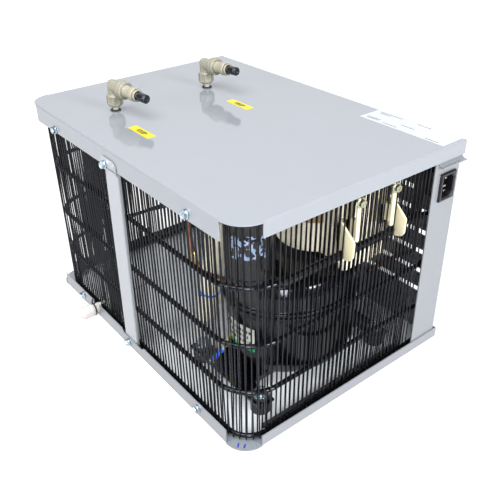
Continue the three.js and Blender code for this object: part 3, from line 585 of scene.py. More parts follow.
# ---------------------------------------------------------------- camera, light and floor
def camera():
    """a slightly long lens, looking down on the near right corner"""
    azimuth, elevation, roll = (math.radians(a) for a in (52.175, 30.95, -1.028))
    flat = math.cos(elevation)
    place = (0.54485, -0.39829, 0.49765)
    back = Vector((math.sin(azimuth) * flat, -math.cos(azimuth) * flat, math.sin(elevation)))
    right = Z.cross(back).normalized()
    up = back.cross(right)
    c, s = math.cos(roll), math.sin(roll)
    data = bpy.data.cameras.new("camera")
    data.lens = 47.17
    data.sensor_width = 36
    data.shift_x = 0.004
    data.shift_y = -0.018
    data.clip_start = 0.01
    cam = add_object("camera", data)
    cam.matrix_world = axes(place, right * c + up * s, up * c - right * s, back)
    bpy.context.scene.camera = cam


def area_light(name, place, target, size, power):
    data = bpy.data.lights.new(name, "AREA")
    data.shape = "DISK"
    data.size = size
    data.energy = power
    toward = Vector(target) - Vector(place)
    add_object(name, data).matrix_world = Matrix.LocRotScale(place, toward.to_track_quat("-Z", "Y"), None)


def studio():
    world = bpy.data.worlds.new("studio")
    world.use_nodes = True
    tree = world.node_tree
    background = next(n for n in tree.nodes if n.type == "BACKGROUND")
    place = tree.nodes.new("ShaderNodeTexCoord")
    toward = tree.nodes.new("ShaderNodeVectorMath")
    toward.operation = "DOT_PRODUCT"
    toward.inputs[1].default_value = Vector((-0.56, 0.45, 0.70)).normalized()
    tree.links.new(place.outputs["Generated"], toward.inputs[0])
    glow = tree.nodes.new("ShaderNodeMapRange")
    glow.interpolation_type = "SMOOTHSTEP"
    for key, value in {"From Min": 0.55, "From Max": 0.98, "To Min": 0.24, "To Max": 1.35}.items():
        glow.inputs[key].default_value = value
    tree.links.new(toward.outputs["Value"], glow.inputs["Value"])
    tree.links.new(glow.outputs[0], background.inputs["Strength"])
    background.inputs["Color"].default_value = (0.96, 0.98, 1.0, 1)
    bpy.context.scene.world = world
    bpy.context.scene.view_settings.view_transform = "Standard"
    area_light("top", (0.3, -0.9, 2.0), (0, 0, 0.1), 1.7, 72)
    area_light("right_fill", (1.7, 0.25, 0.8), (0.1, 0, 0.08), 0.6, 44)
    area_light("near_fill", (1.35, -1.0, 0.75), (0.1, 0, 0.1), 0.5, 20)
    area_light("front_fill", (0.0, -1.8, 0.8), (0.0, 0, 0.08), 0.6, 18)
    bm = bmesh.new()
    bmesh.ops.create_grid(bm, x_segments=2, y_segments=2, size=6)
    mesh = bpy.data.meshes.new("floor")
    bm.to_mesh(mesh)
    bm.free()
    paper = coated("floor_paper", (0.22, 0.22, 0.222, 1), 0.7, mottle=0.004, peel=0.0)
    shader = next(n for n in paper.node_tree.nodes if n.type == "BSDF_PRINCIPLED")
    shader.inputs["Emission Color"].default_value = (1, 1, 1, 1)
    shader.inputs["Emission Strength"].default_value = 0.85
    mesh.materials.append(paper)
    add_object("floor", mesh)


# ---------------------------------------------------------------- lid and base
def tray(bm, low, high, corner_r, front_flange, side_flange, flip, front_outline=None):
    """a flat plate with bent flanges: at its top face if flip is -1, at its bottom if +1"""
    face = low.z if flip > 0 else high.z
    x0, x1, y0, y1 = low.x, high.x, low.y, high.y
    r, stop = BEND_R, FLANGE_STOP
    corner = rounded([(x1 - stop, y0), (x1, y0), (x1, y0 + stop)], corner_r * 0.999, 12, closed=False)
    right = [p for p in corner if p.x >= x1 - stop - 1e-6 and p.y <= y0 + stop + 1e-6]
    left = [(x0 + x1 - p.x, p.y) for p in right[::-1]]
    outline = [(x1 - stop, y0 + r), *right, (x1 - r, y0 + stop), (x1 - r, y1 - r)]
    outline += [(x0 + r, y1 - r), (x0 + r, y0 + stop), *left, (x0 + stop, y0 + r)]
    inside = face + flip * SHEET
    slab(bm, outline, min(face, inside), max(face, inside))

    def flange(a, b, height, at):
        """a bent edge strip: local X points outwards, local Y up, drawn from a to b along local Z"""
        outer = [(-r - OVERLAP, 0), (0, 0), (0, flip * height)]
        slab(bm, sheet_outline(outer if flip > 0 else outer[::-1]), a, b, at, bevel=0.15)

    flange(y0 + stop, y1, side_flange, axes((x1, 0, face), X, Z, Y))
    flange(y0 + stop, y1, side_flange, axes((x0, 0, face), -X, Z, Y))
    flange(x0 + SHEET, x1 - SHEET, side_flange, axes((0, y1, face), Y, Z, X))
    bent = r + OVERLAP if front_outline else front_flange
    flange(x0 + stop, x1 - stop, bent, axes((0, y0, face), -Y, Z, X))
    if front_outline:
        slab(bm, front_outline, 0, SHEET, front_on(0, y0 + SHEET, 0), bevel=0.12)


def lid():
    low, high = box_mm("lid")
    bm = bmesh.new()
    tray(bm, low, high, LID_CORNER_R, LID_FRONT_FLANGE, LID_SIDE_FLANGE, -1)
    piece("lid_sheet", bm, LID_PAINT, "lid_paint", "lid", weighted=True)


def base_tray():
    low, high = box_mm("base_tray")
    drain = middle("drain_cap")
    slot_r, notch, top, foot = 6.95, 4.5, BASE_FRONT_FLANGE, BEND_R
    u_slot = [(drain.x - slot_r, top), *arc(slot_r, 180, 360, 12, drain.x, drain.z), (drain.x + slot_r, top)]
    strap_notch = [(-27, top), (-24, top - notch), (17, top - notch), (23, top)]
    strap_notch = rounded(strap_notch, 1.5, 4, closed=False)
    x0, x1 = low.x + FLANGE_STOP, high.x - FLANGE_STOP
    outline = [(x1, foot), (x1, top), *strap_notch[::-1], *u_slot[::-1], (x0, top), (x0, foot)]
    bm = bmesh.new()
    tray(bm, low, high, BASE_CORNER_R, BASE_FRONT_FLANGE, BASE_SIDE_FLANGE, 1, outline)
    for dx, lean in ((-3.2, 0.77), (1.8, 0.62)):
        pen_tick = shift(high.x - 12 + dx, low.y + 10 + dx * 0.8, SHEET) @ Matrix.Rotation(lean, 4, "Z")
        slab(bm, rectangle(-0.8, 0.8, -2.6, 2.6), 0, 0.04, pen_tick, mat=1)
    bm.normal_update()
    # the floor's top face takes the third material, with its painted light inside the condenser
    for face in bm.faces:
        on_floor = abs(face.normal.z) > 0.9 and abs(face.calc_center_median().z - SHEET) < 0.1
        if face.material_index == 0 and on_floor:
            face.material_index = 2
    piece("base_sheet", bm, [PANEL_PAINT, INK_BLUE, FLOOR_PAINTED_LIGHT], "grey_paint", "base_tray", weighted=True)


# ---------------------------------------------------------------- rear panel and strap
def rear_panel():
    low, high = box_mm("rear_panel")
    front_y, back_y, r = 101.0, 141.0, BEND_R + 0.4
    bm = bmesh.new()
    holes = []
    for z in [54.5 + row * 24.7 for row in range(6)]:
        holes += [(x - 54, x + 54, z - 3, z + 3) for x in (-118, 0, 118)]
    pierced(bm, -PANEL_X + r, PANEL_X - r, low.z, high.z, holes, -SHEET, 0, front_on(0, back_y - SHEET, 0))
    inlet = middle("inlet_housing")
    gap = (inlet.y - 10.3, inlet.y + 10.3, inlet.z - 13.8, inlet.z + 13.8)
    lip = [(PANEL_X + 0.1, 233.4), (PANEL_X + 0.9, 231.2), (PANEL_X + 2.6, 229.8), (high.x, 229.7)]
    lip = rounded(lip, 1.2, 4, closed=False)
    for side in (1, -1):
        wall = axes((side * PANEL_X, 0, 0), Y, Z, X * side)
        pierced(bm, front_y, back_y - r, low.z, high.z, [gap] if side > 0 else [], -SHEET, 0, wall)
        bend = [(PANEL_X, back_y - r), (PANEL_X, back_y), (PANEL_X - r, back_y)]
        flip = Matrix.Scale(side, 4, X)
        slab(bm, sheet_outline(bend, SHEET, r - 0.01, 6), low.z, high.z, flip)
        slab(bm, lip + inset(lip, -1.15, closed=False)[::-1], -142, -105, flip @ front_on(), bevel=0.25)
    slab(bm, rectangle(70, 146, 6, back_y - SHEET), 147.2, 148.4, bevel=0.2)
    piece("rear_sheet", bm, PANEL_PAINT, "grey_paint", "rear_panel", weighted=True)


def front_strap():
    half, lean, height = 13.0, math.radians(1.5), 249.0
    face, head_face, joggle = -142.7, -142.8, 228.8
    at = shift(-5.8, 0, height / 2) @ Matrix.Rotation(lean, 4, "Y") @ shift(0, 0, -height / 2)
    bm = bmesh.new()
    channel = [(-half, face + 3.8), (-half, face), (half, face), (half, face + 3.8)]
    slab(bm, sheet_outline(channel, SHEET, 1.9), 4.2, joggle - 1.0, at, bevel=0.15)
    cheek = rounded(rectangle(-half - 4, half, joggle, 240), [1.5, 1, 6.5, 6.5], 7)
    slab(bm, cheek, 0, SHEET, at @ front_on(0, head_face, 0), bevel=0.3)
    back = head_face - SHEET
    step = [(face + SHEET, joggle - 3.4), (head_face, joggle), (head_face, joggle + 1.2),
            (back, joggle + 1.2), (back, joggle - 0.2), (face, joggle - 3.4)]
    slab(bm, step, -half, half, at @ side_on(), bevel=0.1)
    dome = [(0, -0.2), (4.2, -0.2), (4.2, 0), (3.8, 0.5), (2.9, 1.1), (1.6, 1.5), (0, 1.6)]
    turned(bm, dome, at @ front_on(7.2, back + 0.1, 234.6), 20)
    piece("strap", bm, STRAP_PAINTED_LIGHT, "grey_paint", "front_strap", weighted=True)


# ---------------------------------------------------------------- condenser
def corner_radius(z):
    """the right corner of the condenser opens out from the lowest row of tube upwards"""
    z = min(max(z, TUBE_ROWS[0]), TUBE_ROWS[-1])
    for z0, z1, r0, r1 in zip(TUBE_ROWS, TUBE_ROWS[1:], ROW_CORNER_R, ROW_CORNER_R[1:]):
        if z <= z1:
            return r0 + (r1 - r0) * (z - z0) / (z1 - z0)


def on_cage(run, radius, offset):
    """a point in plan, run being the way round from the end of the front's straight part"""
    turn = run / radius
    if turn <= 0:
        return CAGE_X - radius + run, -CAGE_Y - offset
    if turn < math.pi / 2:
        r = radius + offset
        return CAGE_X - radius + r * math.sin(turn), -CAGE_Y + radius - r * math.cos(turn)
    return CAGE_X + offset, -CAGE_Y + radius + run - radius * math.pi / 2


def front_x(k, z):
    """where front wire k stands at height z, leaning a little to the left"""
    zero, pitch, lean = 61.2, 6.08, -0.0226
    return zero + pitch * k + lean * (z - WIRE_LEVEL)


def side_y(k, z):
    """where side wire k stands at height z, leaning a little to the rear"""
    zero, pitch, lean = 1.9, 5.84, 0.0174
    return zero + pitch * k + lean * (z - WIRE_LEVEL)


def in_plan(side, k, z, offset):
    """where wire k of a side stands at height z: the left and right sides start round their corner"""
    if side == "front":
        return front_x(k, z), -CAGE_Y - offset
    if side == "right":
        sign, gaps, level, r, start = 1, RIGHT_GAPS, z, corner_radius(z), front_x(FRONT_LAST, z)
    else:
        sign, gaps, level, r, start = -1, LEFT_GAPS, WIRE_LEVEL, LEFT_CORNER_R, front_x(FRONT_FIRST, z)
    if k >= gaps:
        return sign * (CAGE_X + offset), side_y(SIDE_FIRST + k - gaps, level)
    a = sign * start - CAGE_X + r
    b = side_y(SIDE_FIRST, level) + CAGE_Y - r + r * math.pi / 2
    x, y = on_cage(a + (b - a) * k / gaps, r, offset)
    return sign * x, y


def wire(bm, place, z0, z1, rng):
    """one upright wire with cropped ends: place gives where it stands at each height"""
    heights = [z0, z0 + 0.3, 30, *TUBE_ROWS[1:4], 210, z1 - 0.3, z1]
    rings = [[Vector((*place(z0), z0))]]
    for z in heights:
        x, y = place(z)
        end = z in (z0, z1)
        bow = 0 if end else rng.uniform(-0.18, 0.18)
        section = circle(WIRE_R * (0.6 if end else 1), 8)
        rings.append([Vector((x + bow + p.x, y + bow + p.y, z)) for p in section])
    loft(bm, [*rings, [Vector((*place(z1), z1))]])


def cage_wires():
    rng = random.Random(SEED)
    sides = {"front": range(FRONT_FIRST, FRONT_LAST + 1), "right": range(1, RIGHT_GAPS + SIDE_WIRES),
             "left": range(1, LEFT_GAPS + SIDE_WIRES)}
    for layer, offset in (("outer", WIRE_LAYER), ("inner", -WIRE_LAYER)):
        low, high = box_mm(f"wires_{layer}_front")
        for side, wires in sides.items():
            bm = bmesh.new()
            for k in wires:
                wire(bm, lambda z: in_plan(side, k, z, offset), low.z, high.z, rng)
            piece(f"cage_{layer}_{side}", bm, ENAMEL, "black_wire", f"wires_{layer}_{side}")


def condenser_tube():
    back = box_mm("wires_outer_right")[1].y - WIRE_R
    last = len(TUBE_ROWS) - 1
    stops, radii = [], []
    for row, z in enumerate(TUBE_ROWS):
        side = 1 if row % 2 else -1
        stops += [(side * CAGE_X, back + 3 if row == 0 else BEND_Y, z), (side * CAGE_X, -CAGE_Y, z)]
        stops += [(-side * CAGE_X, -CAGE_Y, z), (-side * CAGE_X, back + 3 if row == last else BEND_Y, z)]
        radii += [ROW_CORNER_R[row], LEFT_CORNER_R][::side]
        if row < last:
            radii += [(TUBE_ROWS[row + 1] - z) / 2 - 0.3] * 2
    bm = bmesh.new()
    sweep(bm, rounded(stops, [0, *radii, 0], 10, closed=False), TUBE_R, 14)
    x, y = drier_axis()
    low_row, inner_x, rear_y = TUBE_ROWS[0], -CAGE_X + 14, 112
    liquid = [(-CAGE_X, back + 2.5, low_row), (-CAGE_X, rear_y, low_row), (inner_x, rear_y, low_row),
              (inner_x, rear_y, 215), (x, rear_y, 238), (x, y, 238), (x, y, 232)]
    sweep(bm, rounded(liquid, 5, 6, closed=False), 2.2, 12)
    piece("condenser_tubing", bm, ENAMEL, "black_wire", "condenser_tube")


# ---------------------------------------------------------------- compressor and its feet
def compressor():
    low, high = box_mm("compressor_lower")
    centre = (low + high) / 2
    oval = (high.x - low.x) / (high.y - low.y)
    base = shift(centre.x, centre.y, 0)
    seam, bottom = high.z, low.z
    bm = bmesh.new()
    corners = [(0, bottom), (50, bottom), (70, bottom + 5), (75, bottom + 20), (75.2, seam - 7),
               (78, seam - 4), (78, seam), (0, seam)]
    turned(bm, rounded(corners, [0, 5, 10, 10, 3, 1.2, 0.8, 0], 5), base, 72, stretch=oval)
    weld = [(76.2, seam - 0.6), (77.4, seam - 1.2), (78.0, seam - 0.2), (77.6, seam), (76.2, seam)]
    turned(bm, weld, base, 72, closed=True, stretch=oval)
    piece("shell_lower", bm, SHELL_PAINT, "compressor_black", "compressor_lower")

    bm = bmesh.new()
    corners = [(0, 0.3), (77, 0.3), (77, 4), (74.6, 5.2), (74, 21), (69, 31), (56, 38.5), (34, 42), (0, 43)]
    dome = rounded(corners, [0, 0.8, 1, 1.5, 9, 9, 9, 9, 0], 5)
    turned(bm, dome, base @ shift(0, 0, seam), 72, stretch=oval)
    for dx, dy, r in ((-48, -24, 4.0), (-44, 30, 3.0)):
        stub = rounded([(0, 122), (r + 1.6, 122), (r, 132), (r, 143.4), (0, 144)], [0, 0, 2, 1, 0], 3)
        turned(bm, stub, base @ shift(dx, dy, 0), 20)
    cap = rounded([(0, 130), (9, 130), (9, 137.5), (7, 138.5), (0, 138.5)], [0, 0, 1, 1, 0], 3)
    turned(bm, cap, base @ shift(-8, -42, 0), 24)
    piece("shell_upper", bm, SHELL_PAINT, "compressor_black", "compressor_upper")
    compressor_label(base, oval)


def compressor_label(base, oval):
    """a wrapped sticker on the front end of the lower shell, with a green foot"""
    def patch(inner, outer, start, end, steps, z0, z1, mat):
        outline = arc(inner, start, end, steps) + arc(outer, end, start, steps)
        slab(bm, [(oval * p.x, p.y) for p in outline], z0, z1, base, mat=mat)

    bm = bmesh.new()
    patch(75.25, 75.55, -111, -69, 20, 50, 54, 1)
    patch(75.25, 75.55, -111, -69, 20, 54, 79, 0)
    rng = random.Random(SEED + 2)
    for z in (58, 64.4, 70.8):
        a = -107.0
        while a < -74:
            width = rng.uniform(0.5, 2.6)
            patch(75.5, 75.62, a, a + width, 1, z, z + 3.6, 2)
            a += width + rng.uniform(0.7, 1.6)
    piece("shell_label", bm, [LABEL_GREY, LABEL_GREEN, INK], "label_white")


def compressor_feet():
    low, high = box_mm("compressor_feet")
    middle_x, z0, z1 = (low.x + high.x) / 2, low.z, high.z
    spots = [middle(f"foot_bolt_{i}") for i in (1, 2, 3, 4)]
    bm = bmesh.new()
    pierced(bm, middle_x - 30, middle_x + 30, low.y + 20, high.y - 20, [], z0, z1)
    for y0, y1 in ((low.y, low.y + 20), (high.y - 20, high.y)):
        holes = [(p.x - 7, p.x + 7, p.y - 7, p.y + 7) for p in spots if y0 < p.y < y1]
        pierced(bm, low.x, high.x, y0, y1, holes, z0, z1)
    for side in (-1, 1):
        at = axes((middle_x + side * 30, 0, z0), -X * side, Z, Y)
        slab(bm, sheet_outline([(0, 6), (0, 0), (5, 0)], 2.0, 2.2), low.y + 24, high.y - 24, at, bevel=0.2)
    piece("feet_plate", bm, SHELL_PAINT, "compressor_black", "compressor_feet")
    for i, p in enumerate(spots, 1):
        low, high = box_mm(f"foot_grommet_{i}")
        bolt_low, bolt_high = box_mm(f"foot_bolt_{i}")
        foot, top = low.z, high.z
        at = shift(p.x, p.y, 0)
        corners = [(4.2, foot), (11, foot), (10.4, foot + 3), (11, z0 - 0.3), (6.6, z0 - 0.3),
                   (6.6, z1 + 0.3), (9.5, z1 + 0.3), (9.5, top), (4.2, top)]
        bm = bmesh.new()
        turned(bm, rounded(corners, [0.3, 1.2, 1, 1.2, 0.3, 0.3, 1, 1.2, 0.3], 3), at, 28, closed=True)
        piece(f"grommet_{i}", bm, RUBBER, "black_rubber", f"foot_grommet_{i}")
        bm = bmesh.new()
        turned(bm, [(0, bolt_low.z), (3.7, bolt_low.z), (3.7, top + 1), (0, top + 1)], at, 16)
        washer = [(0, top + 0.3), (8.5, top + 0.3), (8.5, top + 1.9), (0, top + 1.9)]
        turned(bm, rounded(washer, [0, 0.3, 0.5, 0], 3), at, 32)
        hex_head(bm, 6.6, top + 1.9, bolt_high.z, at, 0.3 * i)
        piece(f"mount_bolt_{i}", bm, ZINC, "zinc", f"foot_bolt_{i}")


def hex_head(bm, r, z0, z1, at, turn):
    """a hexagon head, chamfered and dished on top"""
    h = z1 - z0
    rings = [(circle(r * size, 6, turn), z) for size, z in
             ((1, z0), (1, z1 - h * 0.16), (0.86, z1), (0.5, z1), (0.42, z1 - h * 0.22))]
    loft(bm, [[at @ Vector((p.x, p.y, z)) for p in ring] for ring, z in rings])


def relay_cover():
    centre = middle("relay_cover")
    top = box_mm("relay_cover")[1].z
    at = shift(centre.x, centre.y, 0)
    bm = bmesh.new()
    can = [(0, 147), (22, 147), (24, 149), (24, top), (0, top)]
    turned(bm, rounded(can, [0, 0.8, 0.8, 12, 0], 8), at, 64)
    turned(bm, [(0, 121), (13, 121), (13, 147.5), (0, 147.5)], at, 32)
    for z in (152, top - 17):
        turned(bm, [(23.6, z - 0.6), (24.0, z), (24.0, z + 2.2), (23.6, z + 2.8)], at, 64, closed=True)
    # the can carries a patch of painted reflections
    piece("relay_can", bm, painted_reflection_film(centre, 176, 202), "relay_black", "relay_cover")


# ---------------------------------------------------------------- pipework
def pipework():
    comp = middle("compressor_lower")
    back = box_mm("wires_outer_right")[1].y - WIRE_R
    right, top_row, drop_y = CAGE_X, TUBE_ROWS[-1], 108.4
    discharge = [(right, back + 3.3, top_row), (right, drop_y, top_row), (right - 11.3, drop_y, top_row),
                 (right - 11.3, drop_y, 124), (comp.x + 52, drop_y - 4, 110), (comp.x + 52, comp.y + 62, 110)]
    bm = bmesh.new()
    sweep(bm, rounded(discharge, 5, 6, closed=False), 2.5, 14)
    sweep(bm, [(right, back + 3.2, top_row), (right, back + 6, top_row)], 3.2, 14, mat=1)
    # the discharge pipe takes the darkened copper, which is painted shade
    piece("discharge_pipe", bm, [SHADED_COPPER, BRASS], "copper", "discharge_tube")

    riser = [(76, -131.4, 238), (81, -114, 228), (83, -112, 200), (91, -112, 160), (94, -106, 142),
             (99, -82, 126)]
    bm = bmesh.new()
    sweep(bm, rounded(riser, 7, 6, closed=False), 2.3, 14)
    sweep(bm, [(90.2, -112, 164), (91.6, -111.6, 156)], 3.4, 14, mat=1)
    piece("copper_riser", bm, [COPPER, BRASS], "copper")

    suction = [(-48, -24, 144.3), (-48, -24, 206), (-30, -72, 212), (-30, -77, 160), (-44, -77, 92),
               (-52, -77, 56), (-84, -58, 50), (-84, 90, 50)]
    bm = bmesh.new()
    sweep(bm, rounded([(comp.x + x, comp.y + y, z) for x, y, z in suction], 11, 6, closed=False), 10.5, 24)
    tie(bm, Vector((comp.x - 43.2, comp.y - 77, 96)), Vector((-14, 0, -68)).normalized(), 10.8, 1)
    piece("suction_sleeve", bm, [SLEEVE_FOAM, TIE_BLUE], "line_foam", "suction_line")


def tie(bm, centre, direction, r, mat):
    """a cable tie round a sleeve, with its small square head"""
    side = direction.cross(Y).normalized()
    at = axes(centre, side, direction.cross(side), direction)
    band = [(r - 0.6, -1.4), (r + 0.3, -1.4), (r + 0.5, 0), (r + 0.3, 1.4), (r - 0.6, 1.4)]
    turned(bm, band, at, 28, mat=mat, closed=True)
    slab(bm, rectangle(-2, 2, r - 0.2, r + 2.6), -2.2, 2.2, at, bevel=0.4, mat=mat)


def filter_drier():
    x, y = drier_axis()
    r, at = DRIER_R, shift(x, y, 0)
    bm = bmesh.new()
    corners = [(0, 148), (3, 148), (3.6, 154), (r, 165), (r, 222), (3.6, 231), (3, 232), (0, 232)]
    turned(bm, rounded(corners, [0, 0.5, 2, 5, 5, 2, 0.5, 0], 4), at, 40)
    for z in (172, 214):
        turned(bm, [(r - 0.3, z - 1), (r, z - 0.5), (r, z + 0.5), (r - 0.3, z + 1)], at, 40, closed=True)
    capillary = [(x, y, 150), (x, y, 120), (x + 16, y + 10, 112), (x + 60, y + 60, 130),
                 (x + 150, y + 190, 136), (x + 170, y + 215, 136)]
    sweep(bm, rounded(capillary, 9, 5, closed=False), 1.5, 8, mat=1)
    turned(bm, [(3.1, 146.5), (4.2, 147.5), (4.2, 152), (3.1, 153)], at, 20, mat=2, closed=True)
    piece("drier", bm, [DRIER_RED, ENAMEL, BRASS], "drier_red", "filter_drier")


def water_coil():
    low, high = box_mm("water_coil")
    tube, turns = 4.75, 5
    steps = turns * 28
    plan = arc((high.x - low.x) / 2 - tube, 0, 360 * turns, steps, (low.x + high.x) / 2, (low.y + high.y) / 2)
    rise = (high.z - low.z - 2 * tube) / steps
    bm = bmesh.new()
    sweep(bm, [(p.x, p.y, low.z + tube + rise * i) for i, p in enumerate(plan)], tube, 12)
    piece("chilling_coil", bm, STAINLESS, "coil_steel", "water_coil")


def tank():
    """foam moulding: a round tank with a flat block beside it, and a band of brown card"""
    top = box_mm("tank_insulation")[1].z
    cx, cy, r, bottom = 117.0, 22.0, 41.0, 148.8
    bm = bmesh.new()
    turned(bm, rounded([(0, bottom), (r, bottom), (r, top), (0, top)], [0, 5, 2, 0], 6), shift(cx, cy, 0), 72)
    slab(bm, rounded(rectangle(137, 176, 0, 63), 2.5, 4), bottom, top - 6, bevel=0.8)
    slab(bm, rounded(rectangle(166, 176, 8, 63), 2.5, 4), 136, bottom + 1, bevel=0.8)
    card = arc(r + 0.05, -128, -20, 28, cx, cy) + arc(r + 0.5, -20, -128, 28, cx, cy)
    slab(bm, card, 184, top - 2, mat=1)
    piece("tank_foam", bm, [TANK_FOAM, KRAFT], "tank_foam", "tank_insulation")


def wiring():
    relay = middle("relay_cover")
    inlet = middle("inlet_housing")
    route = [(PANEL_X - 27.2, inlet.y, inlet.z), (166, inlet.y, inlet.z), (166, inlet.y, 160), (166, 92, 160),
             (181, 82, 160), (181, relay.y, 160), (relay.x + 24.3, relay.y, 160)]
    bm = bmesh.new()
    sweep(bm, rounded(route, 5, 6, closed=False), 2.5, 12)
    piece("mains_lead", bm, CABLE_BLACK, "cable_black", "mains_wiring")

    bm = bmesh.new()
    sweep(bm, rounded([(105, -82.6, 60), (99, -82.2, 45), (93.5, -86, 32)], 6, 6, closed=False), 1.3, 10)
    sweep(bm, [(94, -85, 33.5), (90.3, -94.5, 23.2)], 2.6, 14, mat=1)
    sweep(bm, [(90.3, -94.5, 23.2), (88.4, -96.6, 20.4)], 2.2, 12, mat=2)
    turned(bm, [(0, 17.9), (3.6, 17.9), (3.6, 19.3), (2.6, 20.6), (0, 20.8)], shift(87.6, -96, 0), 20, mat=2)
    piece("earth_lead", bm, [CABLE_YELLOW, TIE_BLUE, ZINC], "cable_black")


# ---------------------------------------------------------------- water ports
def port(name):
    hinge = joint(f"{name}_elbow_swivel")
    stem = Vector(hinge["axis"])
    arm = Vector(joint(f"{name}_plug_pull")["axis"])
    origin = Vector(hinge["pos_m"]) / MM
    rise, leg_r = 28.0, 7.0
    elbow_at = axes(origin, arm, stem.cross(arm), stem)
    arm_at = elbow_at @ side_on(0, 0, rise)

    def fitting(label, material, slot, node, body, corners, radii, at, sides, steps=3, closed=True,
                wave=None):
        """one turned piece of the port"""
        bm = bmesh.new()
        turned(bm, rounded(corners, radii, steps), at, sides, closed=closed, wave=wave)
        piece(f"{label}_{name}", bm, material, slot, f"{node}_{name}", body=body)

    corners = [(3.6, -2.6), (6.2, -2.6), (6.2, -1.5), (4.9, -1.5), (4.9, 0.3), (6.2, 0.3), (5.2, 1.7),
               (3.6, 1.7)]
    fitting("grommet", RUBBER, "black_rubber", "lid_grommet", "base", corners,
            [0.2, 0.4, 0.3, 0.1, 0.1, 0.3, 0.5, 0.4], shift(*origin), 32)
    corners = [(0, -34), (3.15, -34), (3.15, 14), (0, 14)]
    fitting("stem_tube", STEM_WHITE, "stem_white", "stem", "base", corners, [0, 0.5, 0.5, 0], elbow_at, 24,
            closed=False)

    def ribs(a, r, h):
        """eight flats with a rib on every corner of the nut"""
        if r < 8.2 or not 7.0 < h < 17.6:
            return 0.0
        turn = math.radians(45)
        off = abs((a + turn / 2) % turn - turn / 2)
        return -0.8 * (off / (turn / 2)) ** 0.7 + (0.3 if off < math.radians(5) else 0)

    bm = bmesh.new()
    nut = [(3.5, 4.6), (5.5, 4.6), (5.5, 6.6), (7.8, 6.6), (8.9, 8.2), (8.9, 9.5), (8.9, 16.6), (8.9, 17.8),
           (8.4, 18.4), (7.6, 19.0), (7.0, 19.6), (3.5, 19.6)]
    radii = [0.2, 0.4, 0.3, 0.6, 0.6, 0, 0, 0.3, 0.3, 0.3, 0, 0]
    turned(bm, rounded(nut, radii, 3), elbow_at, 96, closed=True, wave=ribs)
    turned(bm, [(0, 19.2), (leg_r, 19.2), (leg_r, rise - leg_r), (0, rise - leg_r)], elbow_at, 40)
    rings = []
    bend = elbow_at @ shift(leg_r, 0, rise - leg_r)
    for k in range(13):
        theta = math.radians(90 * k / 12)
        bulge = (math.cos(theta) ** 7 + math.sin(theta) ** 7) ** (-1 / 7)
        rings.append([bend @ Vector((-(leg_r + p.x) * bulge * math.cos(theta), p.y,
                                     (leg_r + p.x) * bulge * math.sin(theta))) for p in circle(leg_r, 40)])
    loft(bm, rings)
    body = [(0, 6.9), (7.0, 6.9), (7.0, 10.8), (8.5, 12.9), (9.7, 13.9), (9.7, 17.6), (9.05, 18.0),
            (9.05, 18.7), (9.7, 19.2), (9.7, 21.6), (9.1, 22.6), (7.6, 22.6), (7.6, 19.6), (0, 19.6)]
    turned(bm, rounded(body, [0, 0, 1.0, 0.8, 0.8, 0.3, 0.2, 0.2, 0.3, 0.5, 0.5, 0.2, 0, 0], 3), arm_at, 56)
    piece(f"elbow_body_{name}", bm, ACETAL, "fitting_beige", f"elbow_{name}", body=f"elbow_{name}")

    bm = bmesh.new()
    body = [(5.0, 19.9), (6.7, 19.9), (6.7, 25), (6.45, 25.4), (6.45, 31), (6.9, 33.2), (7.5, 34.2),
            (7.5, 38.2), (7.0, 39), (6.2, 39), (6.2, 33.3), (5.0, 33.3)]
    radii = [0, 0.2, 0.2, 0.2, 0.5, 0.5, 0.5, 0.5, 0.4, 0.2, 0, 0]
    turned(bm, rounded(body, radii, 3), arm_at, 48, closed=True)
    turned(bm, [(6.7, 20.0), (7.4, 20.2), (7.4, 22.0), (6.7, 22.3)], arm_at, 48, mat=1, closed=True)
    piece(f"reducer_body_{name}", bm, [ACETAL_PALE, ACETAL], "fitting_beige", f"reducer_{name}",
          body=f"elbow_{name}")

    body = [(5.06, 35.3), (5.9, 35.3), (5.9, 40.7), (6.6, 41.1), (6.6, 42.4), (5.06, 42.4)]
    fitting("collet_ring", ACETAL_PALE, "collet_cream", "collet", f"collet_{name}", body,
            [0.1, 0.1, 0.2, 0.2, 0.4, 0.3], arm_at, 40)

    def flutes(a, r, h):
        return -0.14 if r > 4.3 and 46 < h < 54 and math.cos(10 * a) > 0.55 else 0.0

    body = [(0, 19), (4.2, 19), (4.76, 20.2), (4.76, 44), (4.45, 44.6), (4.45, 45.4), (4.76, 46),
            (4.76, 54.2), (4.5, 54.8), (4.76, 55.4), (4.76, 56.2), (4.1, 57), (2.2, 57), (1.8, 56.2),
            (0, 56.2)]
    fitting("stop_plug", PLUG_BLACK, "plug_black", "plug", f"plug_{name}", body,
            [0, 0.3, 0.4, 0.2, 0, 0, 0.2, 0.2, 0, 0.2, 0.3, 0.4, 0.2, 0.1, 0], arm_at, 60, 2, False, flutes)


